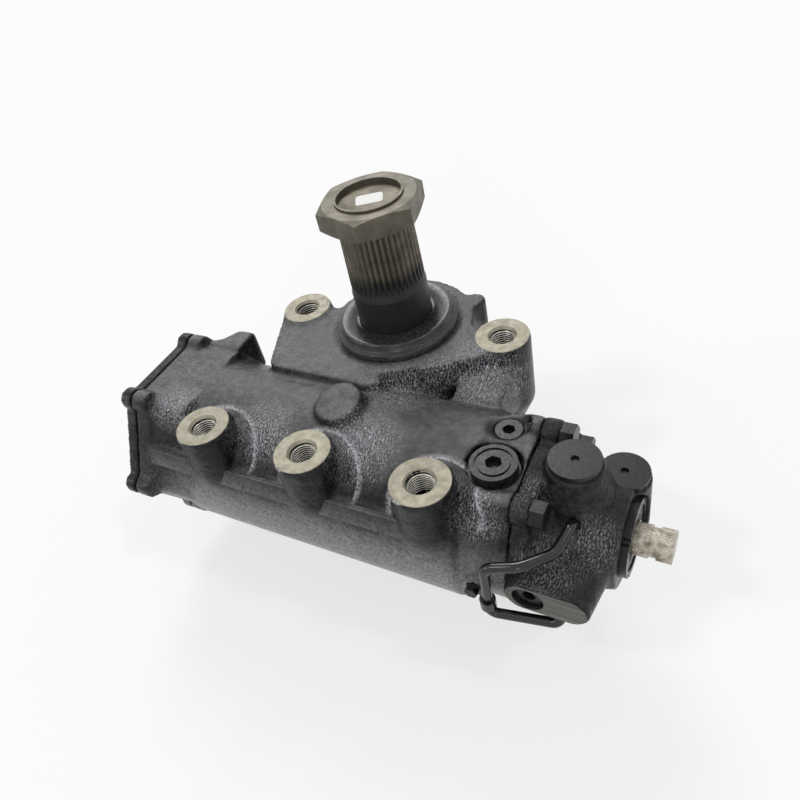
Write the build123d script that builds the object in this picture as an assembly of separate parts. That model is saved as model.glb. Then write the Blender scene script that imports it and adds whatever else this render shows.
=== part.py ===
from build123d import *
import math
import os

os.makedirs("parts", exist_ok=True)

# Integral hydraulic steering gear of a heavy truck, millimetres, +Z up.
# The origin is where the output shaft axis meets the plane of the machined mounting faces.
# The piston bore runs along X, and the input shaft points along +X.

# Housing barrel, about the piston bore
centre_distance = 100.0       # output shaft axis to bore axis
bore_drop = 68.0              # mounting faces down to bore axis
bore_radius = 56.0
barrel_radius = 69.0          # below the parting line
crown_radius = 64.0           # above the parting line
parting_rise = 34.0           # bore axis up to the top of the parting ledge
parting_thickness = 13.0
housing_left = -172.0         # face under the end cover
housing_right = 145.0         # face under the valve housing
end_neck_reach = 44.0         # end face to where the round barrel starts
throat_length = 33.0          # end of the round barrel to the joint face
throat_radius = 61.5
throat_bore = 46.0            # for the spigot of the valve housing
throat_step = 0.5

# Gaps
spigot_gap = 0.1              # radial, spigot in its bore
thread_gap = 0.15             # radial, fastener in its hole
running_gap = 0.25            # radial, part that turns or slides in its bore
seat_gap = 0.3                # endways, between a moving part and what holds it
seal_touch = 0.05             # radial, seal or ring in its bore
bearing_gap = 0.1             # endways, bearing or ring in its seat
travel_gap = 0.66             # piston to the step of the bore, at the end of its travel

# Mounting bosses, drilled for M20 threads
boss_radius = 21.0
boss_pitch = 90.0
front_boss_y = -148.5
rear_boss_x = 88.6
front_boss_depth = 48.0
front_foot_height = 14.0
rear_boss_depth = 60.0
rear_foot_height = 24.0
mount_hole_radius = 9.2
mount_hole_depth = 23.0       # ends short of the piston bore
mount_chamfer = 1.6
web_thickness = 16.0
web_drop = 7.0

# Top plate and sector chamber
plate_drop = 2.0              # top plate below the mounting faces
plate_thickness = 26.0
plate_left = ((-73.0, -62.0, 12.0), (10.0, -68.0, 8.0))    # corners as x, y and radius
plate_right = (40.0, -24.0, 24.0)
plate_lobe = ((50.0, 42.0, 8.0), (30.0, 24.0, 18.0))
dome_radius = 61.0
chamber_gap = 3.0             # round the sector teeth
chamber_wall = 8.0
chamber_depth = 60.0          # bore axis down to the face over the side cover
skirt_thickness = 13.0
link_sides = (-22.0, 15.0)    # web from the right rear boss to the barrel, either side of the boss axis
link_knee = (-50.0, -22.0)    # as y and z
link_toe = -62.0
link_foot = -60.0
blank_boss_x = 2.0
blank_boss_radius = 18.5
blank_boss_top = 3.5
blank_boss_tilt = (10.0, -5.0, 0.0)

# Lifting lug, flat on top, between the end flange and the rear shoulder of the barrel
lug_right = -122.0
lug_length = 15.0             # of the wide part
lug_front = -63.0
lug_back = -35.4
lug_waist = (-146.0, -50.0)
lug_root = -57.0              # where its back edge meets the flange
lug_depth = 36.0
lug_chamfer = 3.0

# Hexagonal end flange and its cover
end_bolt_circle = 72.6
end_half_flat = 66.5
end_lobe_radius = 9.0
end_corner_radius = 8.0
end_flange_thickness = 16.0
neck_length = 36.0
neck_taper = 3.0              # degrees
end_cover_thickness = 10.0
end_spigot_length = 9.0
end_spigot_wall = 8.0
end_screw_radius = 4.0
end_screw_length = 18.5       # under the head, ends inside the flange
end_head_radius = 6.5
end_head_height = 5.0
end_head_sink = 0.3           # below the cover
end_head_key = 5.0            # across flats
end_key_depth = 2.5
end_cover_skin = 3.0          # under the hollow of the spigot
end_boss_radius = 15.0
end_boss_height = 6.0
end_dome_radius = 44.0
end_dome_slope = 10.0
end_dome_height = 6.0
stop_screw_radius = 6.0
stop_screw_stand = 6.0
stop_screw_key = 5.0          # across flats
stop_key_depth = 4.0
stop_nut_flats = 18.0
stop_nut_height = 7.0
seal_depth = 4.0
seal_width = 4.0
seal_land = 2.0               # spigot end to seal groove

# Joint to the valve housing
joint_lobe_radius = 10.0
joint_lobe_length = 27.0
valve_flange_thickness = 12.0
joint_bolt_circle = 61.0
joint_bolt_angles = (7.0, 67.0, 127.0, 247.0, 307.0)  # from +Y towards +Z
joint_bolt_radius = 5.0
joint_bolt_length = 22.0
joint_head_flats = 16.0
joint_head_height = 9.0

# Valve housing
valve_bearing_bore = 34.0
valve_shoulder_inset = 1.0    # joint face to the face that takes the worm thrust
valve_waist_radius = 44.0
valve_waist_length = 15.0
valve_flare = 8.0             # waist wider by this where it leaves the flange
valve_barrel_radius = 35.5
valve_barrel_length = 34.0
valve_bore_radius = 22.5

# Ports, each closed with a plastic transport cap, placed from the bore axis at the valve flange
port_hole_radius = 9.0
port_hole_depth = 16.0
port_boss_radius = 17.5
port_boss_spread = 9.0
port_boss_drop = 30.0
port_cap_radius = 16.3
port_cap_height = 4.0
port_cap_stem = 12.0
port_cap_key = 5.0
pressure_port_place = (16.5, -3.5, 64.0)
return_port_place = (39.0, 28.0, 26.0)

# Limiter block, a long pad with round ends on the front of the valve housing
pad_reach = 69.0              # bore axis to its face
pad_setback = 1.0
pad_length = 54.0
pad_height = 26.0
pad_lift = 4.0
pad_root = 12.0               # bore axis to where the block starts
pad_draft = 7.0               # degrees, block grows towards the barrel
pad_plug_place = 16.0
pad_plug_radius = 10.5
pad_plug_sink = 3.0
pad_plug_length = 14.0
pad_plug_key = 8.0

# Plugs on top of the housing, placed from the bore axis at the joint face
gallery_plug_place = (-22.5, 19.0, 58.0)
gallery_boss_radius = 13.5
gallery_plug_radius = 9.3
gallery_plug_sink = 1.2
gallery_plug_length = 9.0
gallery_plug_key = 8.0
relief_plug_place = (-19.0, -17.0, 55.0)
relief_boss_radius = 17.5
relief_washer_height = 1.6
relief_head_radius = 15.5
relief_head_height = 7.0
relief_groove = (12.5, 10.5, 1.0)   # outer and inner radius, depth
relief_stem_radius = 10.0
relief_stem_length = 8.0
relief_key = 10.0
key_depth = 5.0

# Recirculating ball drive
worm_lead = 13.5
worm_radius = 15.6
worm_end_gap = 10.0          # to the closed end of the piston, at the end of its travel
worm_thread_start = -24.0
worm_turns = 9
ball_circle = 17.0
ball_radius = 3.4
balls_per_turn = 4            # one ball in four, the rest left out
groove_radius = 4.2           # corners of the hexagonal track section
nut_bore_radius = 18.4
nut_groove_start = 24.0
nut_turns = 2
piston_length = 175.0
piston_chamfer = 2.0
piston_crown = 8.0
piston_ring_inset = 7.0
tube_radius = 4.2
tube_sink = 14.0              # saddle below the skin of the piston

# Rack and sector teeth
tooth_module = 8.0
sector_full_teeth = 13        # in a whole circle
sector_teeth = 5
pressure_angle = 25.0
tooth_backlash = 0.5
sector_width = 56.0
sector_travel = 45.0          # degrees each way
sector_shoulder = 4.0         # gear body past the journals
fan_margin = 10.0             # degrees, gear body past the middle of the end teeth
addendum = 7.4
dedendum = 9.6

# Output shaft
journal_radius = 30.0
lower_journal_rise = 6.0      # above the face over the side cover
neck_radius = 29.2
neck_top = 36.0
serration_radius = 28.0       # tooth tips at mid length
serration_count = 40
serration_taper = 1.36        # degrees a side
serration_bottom = 42.0
serration_top = 90.0
serration_depth = 1.6
runout = 5.0
nut_top = 110.2
nut_thickness = 17.5
nut_flats = 69.0
nut_turn = 43.7               # degrees, a corner of the nut from +X
nut_bevel = 2.6
output_thread_radius = 23.4
thread_relief = 1.2
collar_radius = 25.1
collar_height = 1.6
shaft_recess = 4.0            # shaft end below the top of the nut

# Shaft bearings and seals
needle_radius = 1.6
needle_length = 18.0
cup_wall = 1.5
seal_radius = 42.0
seal_bottom = -13.0
seal_hollow = 5.0
seal_lip = 4.0
cap_radius = 48.5
cap_top = 9.5
cap_wall = 4.0
cap_lip = 3.0
cap_dish = 0.8                # roof below the rim
cap_seat_gap = 3.5            # radial, round the dust cap
cap_seat_depth = 2.0

# Side cover and adjusting screw
side_bolt_circle = 70.5
side_flange_radius = 78.0
side_plate_thickness = 14.0
side_spigot_length = 9.0
side_neck_wall = 6.0
side_hub_radius = 26.0
side_hub_spread = 22.0
side_hub_height = 14.0
side_bolt_count = 8
side_bolt_turn = 22.5
side_bolt_radius = 5.0
side_bolt_length = 24.0
side_head_flats = 16.0
side_head_height = 7.0
adjuster_radius = 8.0
adjuster_key = 8.0
adjuster_head_radius = 13.0
adjuster_head_height = 6.0
adjuster_stand = 18.0
adjuster_nut_flats = 27.0
adjuster_nut_height = 9.0
retainer_thickness = 4.0

# Rotary valve and input shaft, from the shoulder of the valve housing and from its end face
worm_flange_radius = 32.0
worm_flange_width = 8.0
thrust_radius = 33.7
thrust_inner = 20.0
thrust_width = 5.0
bearing_nut_width = 5.4
worm_tail_radius = 17.0
worm_tail_reach = 21.0
sleeve_reach = 14.0
sleeve_length = 37.0
sleeve_radius = 22.2
sleeve_grooves = (11.5, 26.0)    # sleeve to the start of each
sleeve_groove_width = 8.0
sleeve_groove_depth = 2.0
sleeve_pin_inset = 3.0
rotor_radius = 13.5
rotor_inset = 10.0            # sleeve to rotor
rotor_slots = 6
slot_depth = 1.8
slot_land = 6.0
tang_reach = 6.0
tail_wall = 6.0               # of the worm tail, past the dogs
tang_radius = 12.0
tang_step = 4.0
tang_play = 7.0               # degrees each way
tang_notch_half = 50.0        # degrees
input_journal_radius = 12.0
input_radius = 11.0
input_reach = 28.5
input_groove_reach = 14.0
input_groove_width = 5.0
input_groove_depth = 1.2
bar_radius = 3.5
bar_head_radius = 5.0
bar_head_length = 12.0
bar_socket = 4.0              # bottom of the hole in the worm to the bar
bar_bore_gap = 1.2            # radial, round the thin part
bar_inset = 28.0
bar_reach = 8.0
pin_radius = 1.8
pin_play = 0.6
pin_inset = (4.0, 6.0)        # from the two ends of the torsion bar
adjuster_plug_depth = 9.5
adjuster_plug_reach = 4.0
adjuster_ring_radius = 27.0
adjuster_ring_width = 5.0
spanner_slot_radius = 2.5
input_bearing_radius = 17.0
input_seal_width = 5.0
input_seal_wall = 4.0

# Steel pipe from the valve housing down to the limiter block, from the bore axis at the valve flange
pipe_radius = 3.4
pipe_route = [
    (21.6, -21.0, 28.0),
    (22.8, -32.0, 41.0),
    (18.0, -52.0, 36.0),
    (2.0, -68.0, 36.5),
    (-19.0, -73.5, 32.5),
    (-20.4, -73.5, -18.0),
    (24.0, -67.0, -16.0),
    (25.0, -61.0, -2.0),
]
pipe_bends = (7.0, 12.0, 16.0, 7.0, 6.0, 6.0)
pipe_socket_radius = 6.0
pipe_socket_reach = 6.0
clip_boss_place = (-33.0, -67.0, -6.0)
clip_height = 8.0
clip_sheet = 1.6
clip_boss_radius = 6.0
clip_screw_radius = 2.5
clip_screw_flats = 8.0
clip_head_height = 3.5
clip_screw_length = 12.0

# Axes, faces and places that follow from the sizes above
bore_y = -centre_distance
bore_z = -bore_drop
pitch_radius = tooth_module * sector_full_teeth / 2
rack_line = centre_distance - pitch_radius
tooth_pitch = math.pi * tooth_module
piston_travel = pitch_radius * math.radians(sector_travel)
parting_top = bore_z + parting_rise
parting_bottom = parting_top - parting_thickness
barrel_start = housing_left + end_neck_reach
barrel_end = housing_right - throat_length
throat_bore_start = barrel_end + throat_step
chamber_radius = pitch_radius + addendum + chamber_gap
chamber_top = bore_z + sector_width / 2 + chamber_gap
housing_bottom = bore_z - chamber_depth
lug_top = bore_z + crown_radius
cup_inner = journal_radius + running_gap + 2 * needle_radius + spigot_gap
cup_radius = cup_inner + cup_wall
upper_cup_top = seal_bottom - 2
lower_journal_end = housing_bottom + lower_journal_rise
lower_cup_top = lower_journal_end + needle_length + 1
cap_seat_radius = cap_radius + cap_seat_gap
nut_bottom = nut_top - nut_thickness
shaft_top = nut_top - shaft_recess
cover_face = housing_left - end_cover_thickness
end_head_seat = cover_face + end_head_sink + end_head_height
boss_face = cover_face - end_dome_height - end_boss_height
end_groove = housing_left + end_spigot_length - seal_land - seal_width
side_face = housing_bottom - side_plate_thickness
side_hub_end = side_face - side_hub_height
side_groove = housing_bottom + seal_land
side_spigot_top = bore_z - sector_width / 2 - chamber_gap
adjuster_head_bottom = lower_journal_end + retainer_thickness + seat_gap
adjuster_pocket_top = adjuster_head_bottom + adjuster_head_height + seat_gap
adjuster_tip = side_hub_end - adjuster_stand
piston_end = throat_bore_start - piston_travel - travel_gap
piston_start = piston_end - piston_length
piston_ring_place = piston_start + piston_ring_inset
stop_screw_tip = piston_start - piston_travel - travel_gap
tube_ends = (nut_groove_start, nut_groove_start + worm_lead * nut_turns)
tube_saddle_y = bore_y - bore_radius + tube_sink
tube_foot = bore_y - ball_circle - ball_radius - 1
worm_start = piston_start + piston_crown + piston_travel + worm_end_gap
valve_face = housing_right + valve_flange_thickness
valve_shoulder = housing_right - valve_shoulder_inset
valve_waist_end = valve_face + valve_waist_length
valve_end = valve_waist_end + valve_barrel_length
worm_flange_left = valve_shoulder - thrust_width - seat_gap - worm_flange_width
bearing_nut_right = worm_flange_left - thrust_width - seat_gap
valve_spigot_start = bearing_nut_right - bearing_nut_width
worm_tail_end = valve_shoulder + worm_tail_reach
sleeve_start = valve_shoulder + sleeve_reach
sleeve_end = sleeve_start + sleeve_length
rotor_start = sleeve_start + rotor_inset
tang_start = valve_shoulder + tang_reach
dog_end = worm_tail_end - tail_wall
input_end = valve_end + input_reach
input_groove_start = valve_end + input_groove_reach
bar_start = valve_shoulder - bar_inset
bar_end = valve_end + bar_reach
worm_pin_x = bar_start + pin_inset[0]
input_pin_x = bar_end - pin_inset[1]
sleeve_pin_x = sleeve_start + sleeve_pin_inset
adjuster_plug_start = valve_end - adjuster_plug_depth
adjuster_plug_end = valve_end + adjuster_plug_reach
adjuster_ring_end = valve_end + adjuster_ring_width
pad_face_y = bore_y - pad_reach
pad_left = housing_right + pad_setback
pad_right = pad_left + pad_length
pad_z = bore_z + pad_lift
pad_plug_x = pad_left + pad_plug_place
mount_places = [(k * boss_pitch, front_boss_y) for k in (-1, 0, 1)] + [(-rear_boss_x, 0), (rear_boss_x, 0)]


def from_bore(x, place):
    """A place that is given from the bore axis at x."""
    return x + place[0], bore_y + place[1], bore_z + place[2]


pressure_port = from_bore(valve_face, pressure_port_place)
return_port = from_bore(valve_face, return_port_place)
gallery_plug = from_bore(housing_right, gallery_plug_place)
relief_plug = from_bore(housing_right, relief_plug_place)
clip_boss = from_bore(valve_face, clip_boss_place)
pipe_points = [from_bore(valve_face, place) for place in pipe_route]


def x_rod(radius, x0, x1, y=bore_y, z=bore_z):
    """A round bar along X."""
    return Pos((x0 + x1) / 2, y, z) * Rot(0, 90, 0) * Cylinder(radius, abs(x1 - x0))


def z_rod(radius, z0, z1, x=0.0, y=0.0):
    """A round bar along Z."""
    return Pos(x, y, (z0 + z1) / 2) * Cylinder(radius, abs(z1 - z0))


def y_rod(radius, y0, y1, x, z):
    """A round bar along Y."""
    return Pos(x, (y0 + y1) / 2, z) * Rot(90, 0, 0) * Cylinder(radius, abs(y1 - y0))


def x_cone(radius0, radius1, x0, x1):
    """A cone about the bore axis, from radius0 at x0 to radius1 at x1."""
    return Pos((x0 + x1) / 2, bore_y, bore_z) * Rot(0, 90, 0) * Cone(radius0, radius1, x1 - x0)


def z_cone(radius0, radius1, z0, z1, x=0.0, y=0.0):
    """A cone along Z, from radius0 at z0 to radius1 at z1."""
    return Pos(x, y, (z0 + z1) / 2) * Cone(radius0, radius1, z1 - z0)


def x_ring(outer, inner, x0, x1):
    """A ring about the bore axis."""
    return x_rod(outer, x0, x1) - x_rod(inner, x0, x1)


def z_ring(outer, inner, z0, z1):
    """A ring about the output axis."""
    return z_rod(outer, z0, z1) - z_rod(inner, z0, z1)


def block(x0, x1, y0, y1, z0, z1):
    """A plain block between two corners."""
    return Pos((x0 + x1) / 2, (y0 + y1) / 2, (z0 + z1) / 2) * Box(x1 - x0, y1 - y0, z1 - z0)


def circle_places(radius, count, start=0.0):
    """Places round a circle, as pairs, the first at start degrees."""
    turns = [math.radians(start + 360 * k / count) for k in range(count)]
    return [(radius * math.cos(a), radius * math.sin(a)) for a in turns]


def bore_places(radius, count, start=0.0):
    """Places round the bore axis as (y, z), turned from +Y towards +Z."""
    return [(bore_y + y, bore_z + z) for y, z in circle_places(radius, count, start)]


def yz_plate(sketch, x0, x1):
    """A sketch drawn as (y, z), stretched from x0 to x1."""
    frame = Plane(origin=(x0, 0, 0), x_dir=(0, 1, 0), z_dir=(1, 0, 0))
    return extrude(frame * sketch, x1 - x0)


def xz_plate(sketch, y0, y1):
    """A sketch drawn as (x, z), stretched from y0 forward to y1."""
    frame = Plane(origin=(0, y0, 0), x_dir=(1, 0, 0), z_dir=(0, -1, 0))
    return extrude(frame * sketch, y0 - y1)


def xy_plate(sketch, z0, z1):
    """A sketch drawn as (x, y), stretched from z0 up to z1."""
    return extrude(Pos(0, 0, z0) * sketch, z1 - z0)


def union(shapes):
    """All the shapes as one solid."""
    whole = shapes[0]
    for shape in shapes[1:]:
        whole += shape
    return whole


def toward(a, b):
    """Unit direction from point a to point b."""
    return (Vector(*b) - Vector(*a)).normalized()


def hexagon(flats):
    """A hexagon by its width across flats."""
    return RegularPolygon(flats / 2 / math.cos(math.radians(30)), 6)


pipe_ends = (
    (pipe_points[0], toward(pipe_points[0], pipe_points[1])),
    (pipe_points[-1], toward(pipe_points[-1], pipe_points[-2])),
)
end_places = bore_places(end_bolt_circle, 6)
joint_places = [bore_places(joint_bolt_circle, 1, angle)[0] for angle in joint_bolt_angles]
side_places = circle_places(side_bolt_circle, side_bolt_count, side_bolt_turn)


def end_outline():
    """Hexagon with a round lobe at each screw, drawn as (y, z)."""
    shape = Pos(bore_y, bore_z) * hexagon(2 * end_half_flat)
    shape = fillet(shape.vertices(), end_corner_radius)
    for place in end_places:
        shape += Pos(*place) * Circle(end_lobe_radius)
    return shape


def end_neck():
    """Tapered hexagonal neck between the end flange and the barrel."""
    shape = Pos(bore_y, bore_z) * hexagon(2 * (end_half_flat - 1))
    shape = fillet(shape.vertices(), 2 * end_corner_radius)
    frame = Plane(origin=(housing_left + end_flange_thickness - 1, 0, 0), x_dir=(0, 1, 0), z_dir=(1, 0, 0))
    return extrude(frame * shape, neck_length, taper=neck_taper)


def barrel_shells():
    """Barrel in two radii, with a ledge along the parting line."""
    crown = x_rod(crown_radius, barrel_start, barrel_end)
    below = block(barrel_start, barrel_end, bore_y - barrel_radius, 0, bore_z - barrel_radius, parting_bottom)
    lower = x_rod(barrel_radius, barrel_start, barrel_end) & below
    ledge_start = housing_left + end_flange_thickness - 1
    band = block(ledge_start, barrel_end, bore_y - barrel_radius, bore_y, parting_bottom, parting_top)
    ledge = x_rod(barrel_radius - 1, ledge_start, barrel_end) & band
    return union([crown, lower, ledge])


def joint_flange(x0, x1):
    """Round flange with a lobe along each joint bolt."""
    return union([x_rod(throat_radius - 2, x0, x1)] + [x_rod(joint_lobe_radius, x0, x1, *place)
                                                       for place in joint_places])


def front_bosses():
    """Three columns in front of the barrel, each webbed back to its crown."""
    columns = []
    for x in (-boss_pitch, 0, boss_pitch):
        post = z_rod(boss_radius, -front_boss_depth, 0, x, front_boss_y)
        toe = -front_boss_depth - front_foot_height
        foot = z_cone(boss_radius / 2, boss_radius, toe, -front_boss_depth, x, front_boss_y)
        half = web_thickness / 2
        web = block(x - half, x + half, front_boss_y, bore_y, bore_z, -web_drop)
        columns.append(post + foot + web)
    return union(columns)


def rear_bosses():
    """Two columns beside the output shaft."""
    columns = []
    for side in (-1, 1):
        x = side * rear_boss_x
        post = z_rod(boss_radius, -rear_boss_depth, 0, x, 0)
        toe = -rear_boss_depth - rear_foot_height
        foot = z_cone(boss_radius / 2, boss_radius, toe, -rear_boss_depth, x, 0)
        inboard = side * dome_radius
        half = web_thickness / 2
        web = block(min(x, inboard), max(x, inboard), -half, half, -rear_boss_depth, -plate_drop)
        columns.append(post + foot + web)
    return union(columns)


def disc(x, y, radius):
    """A circle to hull, by its middle and radius."""
    return (Pos(x, y) * Circle(radius)).edges()


def top_plate():
    """Flat plate that carries the shaft seal and ties the rear bosses to the barrel."""
    left = make_hull(disc(-rear_boss_x, 0, boss_radius) + disc(*plate_left[0]) + disc(*plate_left[1]))
    right = make_hull(disc(rear_boss_x, 0, boss_radius - 4) + disc(*plate_right))
    lobe = make_hull(disc(*plate_lobe[0]) + disc(*plate_lobe[1]))
    outline = Circle(dome_radius) + left + right + lobe
    return xy_plate(outline, -plate_drop - plate_thickness, -plate_drop)


def lifting_lug():
    """Flat-topped lug that runs from the end flange round to the shoulder of the barrel."""
    flange = housing_left + end_flange_thickness - 1
    outline = make_face(Polyline(
        (flange, lug_front), (lug_right, lug_front), (lug_right, lug_back),
        (lug_right - lug_length, lug_back), lug_waist, (flange, lug_root), close=True))
    lug = xy_plate(outline, lug_top - lug_depth, lug_top)
    return chamfer(lug.edges().group_by(Axis.Z)[-1].filter_by(Axis.X), lug_chamfer)


def housing():
    """Cast housing: barrel, sector chamber, bosses and both end flanges."""
    throat = x_rod(throat_radius, barrel_end - 1, housing_right)
    end_flange = yz_plate(end_outline(), housing_left, housing_left + end_flange_thickness)
    joint = joint_flange(housing_right - joint_lobe_length, housing_right)
    outer = chamber_radius + chamber_wall
    chamber = z_rod(outer, housing_bottom, chamber_top)
    shoulder = z_cone(outer, dome_radius - 1, chamber_top, -plate_drop)
    skirt = z_rod(side_flange_radius, housing_bottom, housing_bottom + skirt_thickness)
    slope = make_face(Polyline(
        (0, -web_drop), link_knee, (link_toe, parting_bottom), (0, link_foot), close=True))
    link = yz_plate(slope, rear_boss_x + link_sides[0], rear_boss_x + link_sides[1])
    blank = Pos(blank_boss_x, bore_y, 0) * Rot(*blank_boss_tilt) * z_rod(
        blank_boss_radius, parting_bottom, blank_boss_top)
    gx, gy, gz = gallery_plug
    rx, ry, rz = relief_plug
    gallery_boss = z_rod(gallery_boss_radius, bore_z, gz, gx, gy)
    relief_boss = z_rod(relief_boss_radius, bore_z, rz, rx, ry)
    body = union([
        barrel_shells(), throat, end_flange, end_neck(), joint, chamber, shoulder, skirt, link, blank,
        gallery_boss, relief_boss, top_plate(), front_bosses(), rear_bosses(), lifting_lug(),
    ])
    body += y_rod(clip_boss_radius, clip_boss[1], bore_y - bore_radius, clip_boss[0], clip_boss[2])
    body -= z_rod(side_flange_radius + 3, 2 * housing_bottom, housing_bottom)
    body -= x_rod(bore_radius, housing_left, throat_bore_start)
    body -= x_rod(throat_bore, throat_bore_start, housing_right)
    body -= z_rod(chamber_radius, housing_bottom, chamber_top)
    body -= z_rod(cup_radius + spigot_gap, chamber_top, -plate_drop)
    body -= z_rod(seal_radius, seal_bottom, -plate_drop)
    body -= z_rod(cap_seat_radius, -plate_drop - cap_seat_depth, -plate_drop)
    for x, y in mount_places:
        body -= z_rod(mount_hole_radius, -mount_hole_depth, 0, x, y)
        body -= z_cone(mount_hole_radius, mount_hole_radius + mount_chamfer, -mount_chamfer, 0, x, y)
    for y, z in end_places:
        body -= x_rod(end_screw_radius + thread_gap, housing_left, end_head_seat + end_screw_length + 1, y, z)
    for y, z in joint_places:
        body -= x_rod(joint_bolt_radius + thread_gap, valve_face - joint_bolt_length - 1, housing_right, y, z)
    for x, y in side_places:
        body -= z_rod(side_bolt_radius + thread_gap, housing_bottom, side_face + side_bolt_length + 1, x, y)
    cx, cy, cz = clip_boss
    body -= y_rod(clip_screw_radius + thread_gap, cy, cy + clip_screw_length, cx, cz)
    body -= z_rod(gallery_boss_radius + 1, gz, gz + 20, gx, gy)
    body -= z_rod(relief_boss_radius + 1, rz, rz + 20, rx, ry)
    body -= z_rod(gallery_plug_radius + thread_gap, gz - gallery_plug_length, gz, gx, gy)
    body -= z_rod(relief_stem_radius + thread_gap, rz - relief_stem_length, rz, rx, ry)
    return body


def end_cover():
    """Hexagonal end cover with a spigot in the bore and a threaded centre boss."""
    plate = yz_plate(end_outline(), cover_face, housing_left)
    spigot_end = housing_left + end_spigot_length
    dome = x_cone(end_dome_radius - end_dome_slope, end_dome_radius, cover_face - end_dome_height, cover_face)
    spigot = x_rod(bore_radius - spigot_gap, housing_left, spigot_end)
    boss = x_rod(end_boss_radius, boss_face, housing_left)
    body = plate + dome + spigot
    body -= x_rod(bore_radius - end_spigot_wall, cover_face + end_cover_skin, spigot_end)
    body += boss
    body -= x_rod(stop_screw_radius + thread_gap, boss_face, housing_left)
    body -= x_ring(bore_radius + 1, bore_radius - seal_depth, end_groove, end_groove + seal_width)
    for y, z in end_places:
        body -= x_rod(end_screw_radius + thread_gap, cover_face, housing_left, y, z)
        body -= x_rod(end_head_radius + thread_gap, cover_face, end_head_seat, y, z)
    return body


def end_cover_seal():
    """Rubber ring in the groove of the end cover spigot."""
    return x_ring(bore_radius - seal_touch, bore_radius - seal_depth, end_groove, end_groove + seal_width)


def end_cover_screws():
    """Six socket screws with low heads, sunk in the lobes of the end cover."""
    screws = []
    top = cover_face + end_head_sink
    for y, z in end_places:
        key = yz_plate(Pos(y, z) * hexagon(end_head_key), top, top + end_key_depth)
        head = x_rod(end_head_radius, top, end_head_seat, y, z) - key
        screws.append(head + x_rod(end_screw_radius, end_head_seat, end_head_seat + end_screw_length, y, z))
    return screws


def stop_screw():
    """Set screw in the middle of the end cover that trips the travel limiter."""
    outside = boss_face - stop_nut_height - stop_screw_stand
    screw = x_rod(stop_screw_radius, outside, stop_screw_tip)
    return screw - yz_plate(Pos(bore_y, bore_z) * hexagon(stop_screw_key), outside,
                            outside + stop_key_depth)


def stop_locknut():
    """Hexagon nut that holds the stop screw against the end cover boss."""
    nut = yz_plate(Pos(bore_y, bore_z) * hexagon(stop_nut_flats), boss_face - stop_nut_height, boss_face)
    return nut - x_rod(stop_screw_radius + thread_gap, boss_face - stop_nut_height, boss_face)


def sector_tooth(turn):
    """Outline of one involute tooth of the sector, pointing along turn degrees."""
    base = pitch_radius * math.cos(math.radians(pressure_angle))
    roll = math.tan(math.radians(pressure_angle)) - math.radians(pressure_angle)
    half = math.pi / 2 / sector_full_teeth - tooth_backlash / 2 / pitch_radius

    def spot(radius, side):
        lean = math.acos(min(1.0, base / radius))
        angle = math.radians(turn) + side * (half + roll - math.tan(lean) + lean)
        return (radius * math.cos(angle), radius * math.sin(angle))

    tip = pitch_radius + addendum
    middle = (base + tip) / 2
    low = base - dedendum
    crest = (tip * math.cos(math.radians(turn)), tip * math.sin(math.radians(turn)))
    foot_right = tuple(low / base * v for v in spot(base, -1))
    foot_left = tuple(low / base * v for v in spot(base, 1))
    return make_face([
        ThreePointArc(spot(base, 1), spot(middle, 1), spot(tip, 1)),
        ThreePointArc(spot(tip, 1), crest, spot(tip, -1)),
        ThreePointArc(spot(tip, -1), spot(middle, -1), spot(base, -1)),
        Polyline(spot(base, -1), foot_right, foot_left, spot(base, 1)),
    ])


def serration_outline(radius):
    """Ring of V grooves with a narrow land on each tooth."""
    step = math.pi / serration_count
    land = 0.3 * step
    points = []
    for k in range(serration_count):
        middle = 2 * step * k
        for turn, reach in ((-land, radius), (land, radius), (step, radius - serration_depth)):
            points.append((reach * math.cos(middle + turn), reach * math.sin(middle + turn)))
    return make_face(Polyline(*points, close=True))


def sector_gear():
    """Five-tooth gear sector that meshes with the rack of the piston."""
    root = pitch_radius - dedendum
    step = 360 / sector_full_teeth
    spread = step * (sector_teeth // 2) + fan_margin
    low = math.radians(-90 - spread)
    high = math.radians(-90 + spread)
    start = (root * math.cos(low), root * math.sin(low))
    finish = (root * math.cos(high), root * math.sin(high))
    fan = make_face([Line((0, 0), start), ThreePointArc(start, (0, -root), finish), Line(finish, (0, 0))])
    outline = Circle(journal_radius + sector_shoulder) + fan
    for k in range(sector_teeth):
        outline += sector_tooth(-90 + step * (k - sector_teeth // 2))
    return xy_plate(outline, bore_z - sector_width / 2, bore_z + sector_width / 2)


def sector_shaft():
    """Output shaft with its gear sector, two journals, tapered serration and nut thread."""
    half = (serration_top - serration_bottom) / 2
    foot_radius = serration_radius + half * math.tan(math.radians(serration_taper))
    head_radius = 2 * serration_radius - foot_radius
    relief_radius = output_thread_radius - thread_relief
    teeth = loft([Pos(0, 0, serration_bottom) * serration_outline(foot_radius),
                  Pos(0, 0, serration_top) * serration_outline(head_radius)], ruled=True)
    body = union([
        sector_gear(),
        z_rod(journal_radius, lower_journal_end, -plate_drop - cap_seat_depth),
        z_rod(neck_radius, -plate_drop - cap_seat_depth, neck_top),
        z_cone(neck_radius, foot_radius - serration_depth, neck_top, serration_bottom + runout),
        teeth,
        z_cone(serration_radius - 3, relief_radius, serration_top - 2, nut_bottom - 0.5),
        z_rod(relief_radius, nut_bottom - 1, nut_bottom + 1),
        z_rod(output_thread_radius, nut_bottom, shaft_top),
    ])
    body -= z_rod(adjuster_head_radius + running_gap, lower_journal_end, adjuster_pocket_top)
    return body


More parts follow.
